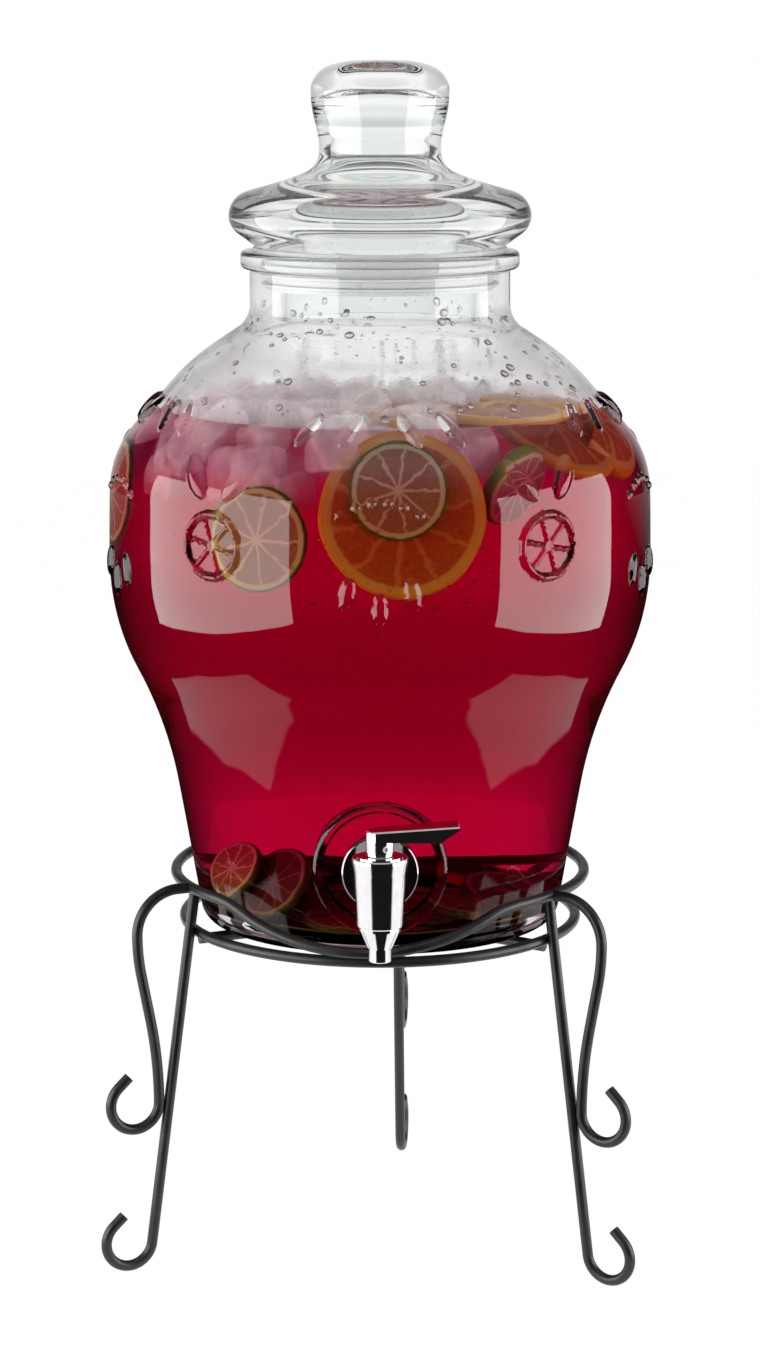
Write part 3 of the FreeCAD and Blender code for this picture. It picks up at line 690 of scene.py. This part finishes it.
def slice_outline(x, y):
    """A raised ring with ribs that cross in its middle."""
    r = math.hypot(x, y)
    ring = dome(abs(r - SLICE_R) / SLICE_RIM) if r < SLICE_R + SLICE_RIM else 0.0
    if r > SLICE_R:
        return ring
    rib = 0.0
    for k in range(SLICE_RIBS):
        turn = math.pi * k / SLICE_RIBS + 0.3
        away = abs(x * math.cos(turn) + y * math.sin(turn))
        rib = max(rib, RIB_SHARE * dome(away / RIB_HALF))
    return max(ring, rib * min(1.0, r / RIB_FADE))


def relief(angle, r, z):
    """How far the ornament stands out at a place of the jar's side."""
    at_slice = (angle % PERIOD - PERIOD / 2) * r
    at_seed = ((angle + PERIOD / 2) % PERIOD - PERIOD / 2) * r
    high = SLICE_H * slice_outline(at_slice, z - SLICE_Z)
    for degrees in SEED_FAN:
        turn = math.radians(degrees)
        seed_z = SEED_Z + abs(turn) * SEED_RISE
        high = max(high, SEED_H * spindle(at_seed - turn * r, z - seed_z, SEED_R, SEED_L / 2, turn * 2))
    for k in range(DOT_COUNT):
        away = k - (DOT_COUNT - 1) / 2
        dot_z = DOT_Z - DOT_DROP * away * away
        far = math.hypot(at_seed - away * DOT_STEP * r, z - dot_z)
        high = max(high, DOT_H * dome(far / DOT_R))
    for side in (-1, 1):
        leaf = spindle(at_slice - side * LEAF_SIDE * r, z - LEAF_Z, LEAF_R, LEAF_L / 2, -side * LEAF_TILT)
        high = max(high, LEAF_H * leaf)
        for degrees in CRESCENT_SIDES:
            moon_x = at_seed - side * math.radians(degrees) * r
            moon = spindle(moon_x, (z - CRESCENT_Z) * 1.3, CRESCENT_R, CRESCENT_L / 2, side * CRESCENT_TILT)
            high = max(high, CRESCENT_H * moon)
    return high


# Jar

AROUND = 480
ROD_AROUND = 96
STEP = 1.6 * MM
FINE_STEP = 0.9 * MM
RELIEF_LOW = 316 * MM
RELIEF_HIGH = 425 * MM


def lower_jar():
    """The jar below its ornament, closed by a flat ring, so that the pad and hole can be cut."""
    outer, inner = jar_outer_line(STEP), jar_inner_line(STEP)
    outer_seam = Vector((radius_at(outer[4:], RELIEF_LOW), RELIEF_LOW))
    inner_seam = Vector((radius_at(inner, RELIEF_LOW), RELIEF_LOW))
    line = [p for p in outer if p.y < RELIEF_LOW] + [outer_seam, inner_seam]
    line += [p for p in inner[::-1] if p.y < RELIEF_LOW]
    bm = bmesh.new()
    revolve(bm, line, AROUND)
    return new_piece("blown_jar", bm), outer_seam, inner_seam


def upper_jar(bm, outer_seam, inner_seam):
    """The jar from its ornament to its mouth, with twice as many faces round it."""
    outer = [p for p in jar_outer_line(FINE_STEP) if p.y > RELIEF_LOW]
    inner = [p for p in jar_inner_line(STEP) if p.y > RELIEF_LOW]
    bore = NECK[0] - GLASS_WALL
    lip_z = JAR_TOP - MOUTH_LIP
    inner += straight([(bore, NECK_Z), (bore, lip_z)], STEP)[1:]
    inner += through([(bore, lip_z, 90), (bore + MOUTH_LIP, JAR_TOP, 0)], STEP)[1:]
    leans = {}
    for before, point, after in zip([outer_seam] + outer, outer, outer[1:] + [outer[-1]]):
        run = after - before
        leans[point.y, point.x] = Vector((run.y, -run.x)).normalized()

    def carved(point, angle):
        if point.y > RELIEF_HIGH:
            return point.x, point.y
        out = leans[point.y, point.x]
        high = relief(angle, point.x, point.y)
        return point.x + out.x * high, point.y + out.y * high

    seam = revolve(bm, [outer_seam], AROUND)
    rings = revolve(bm, outer, 2 * AROUND, carved)
    bridge(bm, seam[0], rings[0])
    inner_seam_ring = revolve(bm, [inner_seam], AROUND)
    inner_rings = revolve(bm, inner, AROUND)
    bridge(bm, inner_seam_ring[0], inner_rings[0])
    bridge(bm, rings[-1], inner_rings[-1])


def rod_y(name, radius, start_y, end_y, edge=0.0):
    """A round bar on the tap's axis, with a rounded edge at its start, to join to or cut from the jar."""
    bm = bmesh.new()
    flat = radius - edge
    side = [Vector((0, start_y)), Vector((flat, start_y))]
    if edge:
        for k in range(1, 7):
            turn = math.pi / 2 * k / 6
            side.append(Vector((flat + edge * math.sin(turn), start_y + edge - edge * math.cos(turn))))
    side += [Vector((radius, end_y)), Vector((0, end_y))]
    rings = []
    for point in side:
        if point.x < 1e-7:
            rings.append([bm.verts.new((0, point.y, TAP_Z))])
            continue
        ring = []
        for k in range(ROD_AROUND):
            turn = 2 * math.pi * k / ROD_AROUND
            ring.append(bm.verts.new((point.x * math.cos(turn), point.y, TAP_Z + point.x * math.sin(turn))))
        rings.append(ring)
    for low, high in zip(rings, rings[1:]):
        bridge(bm, low, high)
    return new_piece(name, bm)


def boolean(obj, tool, operation):
    modifier = obj.modifiers.new("cut", "BOOLEAN")
    modifier.operation = operation
    modifier.object = tool
    modifier.solver = "EXACT"
    bpy.context.view_layer.update()
    depsgraph = bpy.context.evaluated_depsgraph_get()
    mesh = bpy.data.meshes.new_from_object(obj.evaluated_get(depsgraph))
    obj.modifiers.clear()
    obj.data = mesh
    bpy.data.objects.remove(tool)


def smooth_to(obj, degrees):
    """Smooth shading that stops at edges sharper than an angle."""
    limit = math.radians(degrees)
    bm = bmesh.new()
    bm.from_mesh(obj.data)
    for face in bm.faces:
        face.smooth = True
    for edge in bm.edges:
        if len(edge.link_faces) == 2 and edge.calc_face_angle() > limit:
            edge.smooth = False
    bm.to_mesh(obj.data)
    bm.free()


def wetted(obj):
    """Inner faces get the second material under the drink's top and the third above it, the base the last,
    whose dark colour is painted shade.
    """
    half = GLASS_WALL / 2
    middle = jar_inner_line(STEP, half)
    for face in obj.data.polygons:
        x, y, z = face.center
        if z < FLOOR_Z - half:
            face.material_index = 3
        elif z <= MIST_TOP:
            if y < PAD_RECESS_Y and math.hypot(x, z - TAP_Z) < PAD_R - GLASS_WALL + MM:
                inner = y > PAD_Y + PAD_GLASS / 2
            else:
                inner = math.hypot(x, y) < radius_at(middle, z)
            if inner:
                face.material_index = 2 if z > DRINK_TOP else 1


def blown_jar():
    jar, outer_seam, inner_seam = lower_jar()
    boolean(jar, rod_y("pad_disc", PAD_R, PAD_Y, PAD_ROOT_Y, PAD_EDGE), "UNION")
    boolean(jar, rod_y("pad_recess", PAD_R - GLASS_WALL, PAD_Y + PAD_GLASS, PAD_RECESS_Y), "DIFFERENCE")
    boolean(jar, rod_y("tap_hole", SHANK_HOLE_R, PAD_Y - 10 * MM, PAD_Y + 3 * PAD_GLASS), "DIFFERENCE")
    bm = bmesh.new()
    bm.from_mesh(jar.data)
    cap = [f for f in bm.faces if all(abs(v.co.z - RELIEF_LOW) < 1e-6 for v in f.verts)]
    bmesh.ops.delete(bm, geom=cap, context="FACES")
    upper_jar(bm, outer_seam, inner_seam)
    bmesh.ops.remove_doubles(bm, verts=bm.verts, dist=1e-6)
    jar.data = finished_mesh(bm, "blown_jar")
    smooth_to(jar, 40)
    for material in (jar_glass, wet_glass, misted_glass, shaded_base_glass):
        jar.data.materials.append(material)
    wetted(jar)
    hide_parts("glass_jar")
    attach(jar, "jar")


blown_jar()


# Lid

def pressed_lid():
    bm = bmesh.new()
    revolve(bm, lid_outer_line(STEP) + lid_hollow_line(STEP), 320)
    bmesh.ops.remove_doubles(bm, verts=bm.verts, dist=1e-6)
    lid = new_piece("pressed_lid", bm, lid_glass)
    smooth_to(lid, 40)
    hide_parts("lid_glass")
    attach(lid, "lid")


pressed_lid()


# Drink

def drink_piece():
    """The drink fills the hollow a hair into the glass, up to a rippled top with a raised rim."""
    inner = jar_inner_line(STEP, GLASS_WALL - DRINK_OVERLAP)
    line = [p for p in inner if p.y < DRINK_TOP]
    top_r = radius_at(inner[2:], DRINK_TOP)
    line.append(Vector((top_r, DRINK_TOP)))
    for k in range(1, 5):
        turn = math.pi / 2 * k / 4
        drop = DRINK_RIM * (1 - math.cos(turn))
        line.append(Vector((top_r - DRINK_RIM * math.sin(turn) * 2, DRINK_TOP - drop)))
    inside = line[-1]
    rings = 30
    line += [Vector((inside.x * (1 - k / rings), inside.y)) for k in range(1, rings + 1)]

    def rippled(point, angle):
        if point.y < inside.y - 1e-6 or point.x > inside.x - 1e-6:
            return point.x, point.y
        fade = min(1.0, (inside.x - point.x) / (6 * MM))
        return point.x, point.y + fade * 0.8 * MM * noise.noise(at(point.x, angle, 0) * 45)

    bm = bmesh.new()
    revolve(bm, line, 240, rippled)
    drink = new_piece("red_drink", bm, red_drink)
    boolean(drink, rod_y("shank_room", SHANK_ROOM_R, PAD_Y, SHANK_ROOM_Y), "DIFFERENCE")
    smooth_to(drink, 50)
    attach(drink, "jar")


def colour_layers():
    """Layers under the pale melt water at the top, each deeper and with a cloudy upper face."""
    for number, (top, density, colour) in enumerate(COLOUR_LAYERS):
        name = "deep_colour_%d" % number
        inset = GLASS_WALL + (0.3 + 0.25 * number) * MM
        inner = jar_inner_line(2 * STEP, inset)
        line = [p for p in inner if p.y < top - 8 * MM]
        edge_r = radius_at(inner[2:], top)
        line.append(Vector((edge_r, top)))
        line += [Vector((edge_r * (1 - k / 24), top)) for k in range(1, 25)]

        def cloudy(point, angle):
            x, y = point.x * math.sin(angle), -point.x * math.cos(angle)
            if point.y < top - MM:
                return point.x, point.y
            lift = 7 * MM * noise.noise(Vector((x * 28, y * 28, number * 4.0)))
            return radius_at(inner[2:], top + lift) * point.x / edge_r, top + lift

        bm = bmesh.new()
        revolve(bm, line, 160, cloudy)
        layer = new_piece(name, bm, colour_layer_material(name, density, colour))
        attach(layer, "jar")


drink_piece()
colour_layers()


# Fruit: slices of orange and lime that lean on the glass, float or lie on the floor

CLEARANCE = 0.7 * MM
INNER_LINE = jar_inner_line(STEP, GLASS_WALL + CLEARANCE)
SLICE_AROUND, SLICE_STEPS = 96, 22
HEAP_COUNT, FLOOR_COUNT, GOLDEN_ANGLE = 22, 17, 137.5


def keep_inside(obj):
    """Presses what would stand in the jar's wall or floor flat against it."""
    matrix = obj.matrix_world
    back = matrix.inverted()
    for vertex in obj.data.vertices:
        p = matrix @ vertex.co
        p.z = max(p.z, FLOOR_Z + CLEARANCE)
        r = math.hypot(p.x, p.y)
        limit = radius_at(INNER_LINE[2:], p.z)
        if r > limit:
            p.x *= limit / r
            p.y *= limit / r
        vertex.co = back @ p


def slice_shape(thickness, part, seed):
    """A round slice, or a part of one, of radius 1, with rounded edges and a slightly uneven cut face."""
    bm = bmesh.new()
    half = thickness / 2
    edge = half * 0.8
    flat = 1 - edge
    profile = [Vector((flat * k / SLICE_STEPS, half)) for k in range(SLICE_STEPS + 1)]
    for k in range(1, 9):
        turn = math.pi * k / 8
        middle = edge - half if k > 4 else half - edge
        profile.append(Vector((flat + edge * math.sin(turn), edge * math.cos(turn) + middle)))
    profile += [Vector((flat * (SLICE_STEPS - k) / SLICE_STEPS, -half)) for k in range(1, SLICE_STEPS + 1)]
    count = SLICE_AROUND if part >= 1 else max(8, round(SLICE_AROUND * part))
    rows = []
    for k in range(count + (part < 1)):
        angle = 2 * math.pi * k / SLICE_AROUND
        row = []
        for p in profile:
            x, y = p.x * math.cos(angle), p.x * math.sin(angle)
            lift = 0.03 * noise.noise(Vector((x * 3, y * 3, seed)))
            wave = 1 + 0.02 * noise.noise(Vector((math.cos(angle) * 2, math.sin(angle) * 2, seed + 5)))
            row.append(bm.verts.new((x * wave, y * wave, p.y + lift)))
        rows.append(row)
    pairs = list(zip(rows, rows[1:]))
    if part >= 1:
        pairs.append((rows[-1], rows[0]))
    for a, b in pairs:
        for k in range(len(profile) - 1):
            bm.faces.new((a[k], a[k + 1], b[k + 1], b[k]))
    if part < 1:
        bm.faces.new(rows[0][::-1])
        bm.faces.new(rows[-1])
    bmesh.ops.remove_doubles(bm, verts=bm.verts, dist=1e-5)
    return bm


def turned(degrees, axis):
    return Matrix.Rotation(math.radians(degrees), 4, axis)


def citrus(name, material, radius, thickness, azimuth, height, depth, lean, spin=0, turn=0, part=1, seed=0):
    """A slice at an azimuth from the front, turned about the vertical, leaning back and spun in its plane."""
    obj = new_piece(name, slice_shape(thickness / radius, part, seed), material)
    smooth_to(obj, 50)
    facing = turned(azimuth, "Z") @ turned(turn, "Z") @ turned(90 - lean, "X") @ turned(spin, "Z")
    place = Matrix.Translation(at(depth, math.radians(azimuth), height))
    obj.matrix_world = place @ facing @ Matrix.Scale(radius, 4)
    keep_inside(obj)
    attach(obj, "jar")


# Name, material, (radius, thickness, azimuth, height, depth from the axis, lean) in mm and degrees, the rest
SLICES = (
    ("front_orange_slice", orange_cut, (36, 5, 5, 365, 109.5, 13), {"spin": 20, "seed": 1}),
    ("front_lime_slice", lime_cut, (21, 3.2, 4, 376, 111.6, 13), {"spin": 50, "seed": 2}),
    ("left_lime_slice", lime_cut, (23, 4, -27, 354, 115.5, 6), {"spin": 10, "turn": 6, "seed": 3}),
    ("side_lime_slice", lime_cut, (23, 4, -84, 362, 115.0, 6), {"spin": 70, "turn": 20, "seed": 4}),
    # This slice takes the lime lightened with painted light
    ("right_lime_slice", lit_lime, (18, 7, 35, 374, 97, -30), {"spin": 62, "turn": 21, "seed": 5}),
    ("right_orange_slice", orange_cut, (32, 5, 58, 390, 84, 62), {"seed": 6}),
    ("floating_orange_slice", orange_cut, (30, 4, 48, 402, 72, 87), {"seed": 14}),
    ("second_floating_slice", orange_cut, (27, 4, 96, 402, 74, 86), {"seed": 15}),
    ("rear_floating_slice", orange_cut, (29, 4, 20, 403, 24, 88), {"seed": 16}),
    ("top_orange_slice", orange_cut, (30, 5, 22, 401, 66, 82), {"turn": 20, "part": 0.6, "seed": 7}),
    ("rim_orange_wedge", orange_cut, (26, 10, 74, 390, 92, 40), {"spin": 200, "part": 0.5, "seed": 8}),
    ("floor_lime_left", lime_cut, (17, 4, -60, 191, 70, 37), {"spin": 30, "turn": -6, "seed": 9}),
    # This slice takes the lime darkened with painted shade
    ("floor_lime_second", shaded_lime, (20, 4, -42, 188, 65, 35), {"spin": 80, "turn": -18, "seed": 10}),
)

for name, material, (radius, thickness, azimuth, height, depth, lean), rest in SLICES:
    citrus(name, material, radius * MM, thickness * MM, azimuth, height * MM, depth * MM, lean, **rest)


def floor_fruit():
    """Slices that lie over each other on the jar's floor, and a heap that leans on the wall behind."""
    thick = 3.6 * MM
    draw = random.Random(12)
    for k in range(HEAP_COUNT):
        azimuth = 62 + 236 * k / (HEAP_COUNT - 1)
        depth = draw.uniform(50, 62) * MM
        height = FLOOR_Z + draw.uniform(7, 13) * MM
        radius = draw.uniform(17, 21) * MM
        lean = draw.uniform(56, 76)
        spin = draw.uniform(0, 360)
        name = "heap_slice_%02d" % k
        # The heap's slices take the lime darkened with painted shade
        citrus(name, shaded_lime, radius, thick, azimuth, height, depth, lean, spin, seed=50 + k)
    for k in range(FLOOR_COUNT):
        azimuth = k * GOLDEN_ANGLE
        depth = 64 * MM * math.sqrt((k + 0.6) / FLOOR_COUNT)
        height = FLOOR_Z + (4 + draw.uniform(0, 9)) * MM
        lean = 90 - draw.uniform(3, 16)
        radius = draw.uniform(17, 22) * MM
        spin = draw.uniform(0, 360)
        name = "floor_slice_%02d" % k
        # Two in three floor slices take the lime darkened with painted shade
        material = shaded_lime if k % 3 else orange_cut
        citrus(name, material, radius, thick, azimuth, height, depth, lean, spin, seed=20 + k)


floor_fruit()


# Ice, bubbles and drops

# Rings of cubes: radius, count and depth under the drink's top, in mm. Wide rings leave a side open for the
# slices, and the widest has cubes at the left only
ICE_RINGS = ((95, 24, 8), (76, 19, 4), (55, 13, 4), (34, 8, 4), (12, 3, 5), (101, 17, 25), (103, 22, 17))
OPEN_SIDE = (20, 95)
OPEN_FROM_R = 70
LEFT_SIDE = (262, 340)
LEFT_FROM_R = 102
RIGHT_CUBES = (("ice_right", 25, 92, 387), ("ice_right_low", 20, 88, 380))
DROPS = 420
DROP_FLATNESS = 0.6
BUBBLES = 80
BUBBLES_Z = 341 * MM


def ice_cube(name, size, place, turns, seed):
    """A worn cube: rounded corners, melted hollows."""
    bm = bmesh.new()
    bmesh.ops.create_cube(bm, size=1.0)
    bmesh.ops.subdivide_edges(bm, edges=bm.edges, cuts=9, use_grid_fill=True)
    for vertex in bm.verts:
        p = vertex.co
        rounded = p.normalized() * 0.62
        p = p.lerp(rounded, 0.42)
        worn = 0.09 * noise.noise(p * 2.6 + Vector((seed, 0, 0)))
        vertex.co = p * (1 + worn)
    obj = new_piece(name, bm, cloudy_ice)
    turn = Matrix.Rotation(turns[0], 4, "X") @ Matrix.Rotation(turns[1], 4, "Z")
    scale = Matrix.Diagonal((*size, 1))
    obj.matrix_world = Matrix.Translation(place) @ turn @ scale
    keep_inside(obj)
    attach(obj, "jar")


def ice_layer():
    """Cubes in rings under and through the drink's top, and a few that hang lower at the wall."""
    draw = random.Random(7)
    number = 0
    for ring_r, count, depth in ICE_RINGS:
        for k in range(count):
            azimuth = 360 * (k + draw.uniform(-0.3, 0.3)) / count
            size = [draw.uniform(15, 25) * MM for side in range(3)]
            r = ring_r * MM + draw.uniform(-4, 4) * MM
            z = DRINK_TOP - depth * MM + draw.uniform(-4, 5) * MM
            turns = (draw.uniform(-0.6, 0.6), draw.uniform(0, 3))
            if ring_r > OPEN_FROM_R and OPEN_SIDE[0] < azimuth < OPEN_SIDE[1]:
                continue
            if ring_r > LEFT_FROM_R and not LEFT_SIDE[0] < azimuth < LEFT_SIDE[1]:
                continue
            ice_cube("ice_%02d" % number, size, at(r, math.radians(azimuth), z), turns, number * 3.7)
            number += 1
    for name, azimuth, r, z in RIGHT_CUBES:
        angle = math.radians(azimuth)
        ice_cube(name, (21 * MM, 16 * MM, 22 * MM), at(r * MM, angle, z * MM), (0.3, angle), azimuth)


def blob(bm, place, radius, out=None):
    """A small ball, flattened along the direction out of the glass it clings to."""
    matrix = Matrix.Translation(place)
    if out is not None:
        turn = out.to_track_quat("Z", "Y").to_matrix().to_4x4()
        matrix = matrix @ turn @ Matrix.Diagonal((1, 1, DROP_FLATNESS, 1))
    bmesh.ops.create_icosphere(bm, subdivisions=3, radius=radius, matrix=matrix)


def wall_place(azimuth, z, inset):
    """A place by the jar's inner face, and the direction out through the glass there."""
    line = jar_inner_line(STEP, GLASS_WALL + inset)
    r = radius_at(line, z)
    slope = (radius_at(line, z + MM) - r) / MM
    out = Vector((1, 0, -slope)).normalized()
    a = math.radians(azimuth)
    return at(r, a, z), at(out.x, a, out.z)


def drops_on_glass():
    """Water drops on the inside of the jar above the drink."""
    draw = random.Random(21)
    bm = bmesh.new()
    for number in range(DROPS):
        z = DRINK_TOP + 3 * MM + (MIST_TOP - DRINK_TOP) * draw.random() ** 1.4
        azimuth = draw.uniform(0, 360)
        radius = (0.35 + 2.0 * draw.random() ** 3) * MM
        place, out = wall_place(azimuth, z, 0.0)
        blob(bm, place, radius, out)
    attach(new_piece("drops", bm, water_material("clear_water", WATER_IOR)), "jar")


def bubbles():
    """Air bubbles under the front slices and along the wall."""
    draw = random.Random(5)
    bm = bmesh.new()
    for number in range(BUBBLES):
        azimuth = draw.gauss(3, 14)
        z = BUBBLES_Z + draw.gauss(0, 11) * MM
        place = wall_place(azimuth, z, 1.3 * MM)[0]
        blob(bm, place, draw.uniform(0.3, 0.9) * MM)
    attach(new_piece("bubbles", bm, water_material("air_in_drink", AIR_IN_WATER_IOR)), "jar")


ice_layer()
drops_on_glass()
bubbles()


# Studio

# A ray that has crossed more faces than this has been through the drink
DRINK_FACES = 5.5

TABLE_WHITE = 1.03
TABLE_HALF = 3.0
SHOWN_SHARE = 0.93

# Lit patches of the table, one at each side, that the glass mirrors: edges from dark to lit
PATCH_INNER = (0.195, 0.205)
PATCH_OUTER = (0.455, 0.445)
PATCH_SLANT = (0.448, 0.440)
PATCH_LEAN = -0.37
PATCH_FRONT = (-0.205, -0.195)
PATCH_BACK = (0.24, 0.23)
PATCH_LEVEL = 0.75

# Where the chrome mirrors a lit table, by the azimuth from the barrel
CHROME_LEFT = (math.radians(-36), math.radians(-44))
CHROME_RIGHT = (math.radians(54), math.radians(62))
CHROME_LEVEL = 1.1

LAMP_Z, LAMP_H, LAMP_RADIANCE = 0.30, 0.60, 4.2


def backdrop_level(tree, backward):
    """How bright the backdrop is through glass, by how far a ray heads back: darker behind the drink."""
    share = tree.map_range(backward, -1, 1)
    low = (0.00, 0.75), (0.10, 0.45), (0.30, 0.10), (0.50, 0.08)
    behind_drink = tree.ramp(share, *low, (0.80, 0.25), (0.90, 0.58), (0.97, 0.92), (1.00, 1.0))
    behind_glass = tree.ramp(share, (0.10, 0.85), (0.40, 0.92), (0.60, 0.97), (0.80, 1.0))
    deep = tree.calc("GREATER_THAN", tree.ray("Transmission Depth"), DRINK_FACES)
    return tree.mix_colours(deep, behind_glass, behind_drink)


def table_glow(tree, axes):
    """White for the camera. Through glass the table shows a painted shadow by the object and is bright far
    off or from high.
    """
    away = tree.node("VectorMath")
    away.operation = "LENGTH"
    tree.give(away.inputs[0], tree.node("CombineXYZ", X=axes["X"], Y=axes["Y"]))
    away = away.outputs["Value"]
    backward = tree.calc("DIVIDE", axes["Y"], away)
    shallow = tree.calc("LESS_THAN", tree.ray("Transmission Depth"), DRINK_FACES)
    from_high = tree.times(tree.map_range(tree.ray("Ray Length"), 0.30, 0.50, 0.0, 0.9), shallow)
    # Painted shadow: through glass the table darkens towards the object's axis
    level = tree.calc("MAXIMUM", tree.map_range(away, 0.3, 1.5, 0.01, 1.0), from_high)
    level = tree.times(level, backdrop_level(tree, backward))
    less = tree.calc("SUBTRACT", level, TABLE_WHITE)
    less = tree.times(tree.ray("Is Transmission Ray"), less)
    return tree.node("Emission", Strength=tree.calc("ADD", less, TABLE_WHITE))


def table_mirrored(tree, axes):
    """What glass and chrome mirror of the table: lit patches, and light far behind or at the sides."""
    x, y = axes["X"], axes["Y"]
    side = tree.calc("ABSOLUTE", x)
    slant = tree.calc("ADD", side, tree.times(y, PATCH_LEAN))
    lit = tree.map_range(side, *PATCH_INNER)
    for value, edge in ((side, PATCH_OUTER), (slant, PATCH_SLANT), (y, PATCH_FRONT), (y, PATCH_BACK)):
        lit = tree.times(lit, tree.map_range(value, *edge))
    far = tree.map_range(y, 1.8, 3.0, 0.004, 0.25)
    in_glass = tree.calc("ADD", tree.times(lit, PATCH_LEVEL), far)
    azimuth = tree.calc("ARCTAN2", x, tree.calc("SUBTRACT", BARREL_Y, y))
    left = tree.map_range(azimuth, *CHROME_LEFT, 0.01, CHROME_LEVEL)
    right = tree.map_range(azimuth, *CHROME_RIGHT, 0.0, CHROME_LEVEL)
    in_chrome = tree.calc("ADD", left, right)
    more = tree.times(tree.calc("SUBTRACT", in_glass, in_chrome), tree.ray("Is Singular Ray"))
    return tree.node("Emission", Strength=tree.calc("ADD", more, in_chrome))


def floor_plane():
    """A pale table that keeps the object's shadow and shows white to the camera, metal and glass."""
    tree = new_material("white_table")
    axes = tree.axes()
    seen = tree.calc("MAXIMUM", tree.ray("Is Camera Ray"), tree.ray("Is Transmission Ray"))
    diffuse = tree.node("BsdfDiffuse", Color=(0.8, 0.8, 0.8))
    shown = tree.mix(tree.times(seen, SHOWN_SHARE), diffuse, table_glow(tree, axes))
    table = tree.mix(tree.ray("Is Reflection Ray"), shown, table_mirrored(tree, axes))
    bm = bmesh.new()
    corners = ((-1, -1), (1, -1), (1, 1), (-1, 1))
    bm.faces.new([bm.verts.new((x * TABLE_HALF, y * TABLE_HALF, 0)) for x, y in corners])
    new_piece("table_top", bm, tree.surface(table), smooth=False)


def studio_world():
    """White for the camera, a white backdrop behind for glass, a dark room for what the surfaces mirror."""
    world = bpy.data.worlds.new("studio")
    scene.world = world
    tree = Tree(world, "ShaderNodeOutputWorld")
    direction = tree.node("SeparateXYZ", Vector=tree.node("TexCoord").outputs["Generated"]).outputs
    y, z = direction["Y"], direction["Z"]
    height = tree.map_range(z, -0.1, 0.7)
    level = tree.ramp(height, (0.0, 1.0), (0.09, 0.76), (0.25, 0.66), (0.55, 0.88), (1.0, 1.0))
    level = tree.mix_colours(1.0, level, backdrop_level(tree, y), "MULTIPLY")
    backdrop = tree.node("Background", Color=level)
    walls = tree.ramp(z, (0.0, 0.008), (0.5, 0.03), (0.95, 0.5))
    grazing = tree.map_range(y, 0.84, 0.99, 0.0, 0.6)
    room = tree.node("Background", Color=tree.calc("MAXIMUM", walls, grazing))
    shown = tree.mix(tree.ray("Is Transmission Ray"), room, backdrop)
    shown = tree.mix(tree.ray("Is Diffuse Ray"), shown, tree.node("Background", Color=(0.7, 0.7, 0.7)))
    tree.surface(tree.mix(tree.ray("Is Camera Ray"), shown, tree.node("Background", Color=(1, 1, 1))))


def soft_box(name, x, y, width):
    """A rectangular lamp of an even brightness that faces the axis, which the camera doesn't see."""
    light = bpy.data.lights.new(name, "AREA")
    light.shape = "RECTANGLE"
    light.size = width
    light.size_y = LAMP_H
    light.energy = LAMP_RADIANCE * math.pi * width * LAMP_H
    obj = bpy.data.objects.new(name, light)
    scene.collection.objects.link(obj)
    obj.location = (x, y, LAMP_Z)
    obj.rotation_euler = Vector((-x, -y, 0)).to_track_quat("-Z", "Y").to_euler()
    obj.visible_camera = False
    obj.visible_transmission = False


def camera():
    data = bpy.data.cameras.new("camera")
    data.sensor_fit = "VERTICAL"
    data.sensor_height = 36.0
    data.lens = 96.73
    obj = bpy.data.objects.new("camera", data)
    scene.collection.objects.link(obj)
    obj.location = (0, -1.68906, 0.58751)
    obj.rotation_euler = (math.radians(90 - 10.561), 0, 0)
    scene.camera = obj


floor_plane()
studio_world()
soft_box("left_box", -0.713, -0.252, 1.08)
soft_box("right_box", 0.737, -0.170, 0.86)
camera()
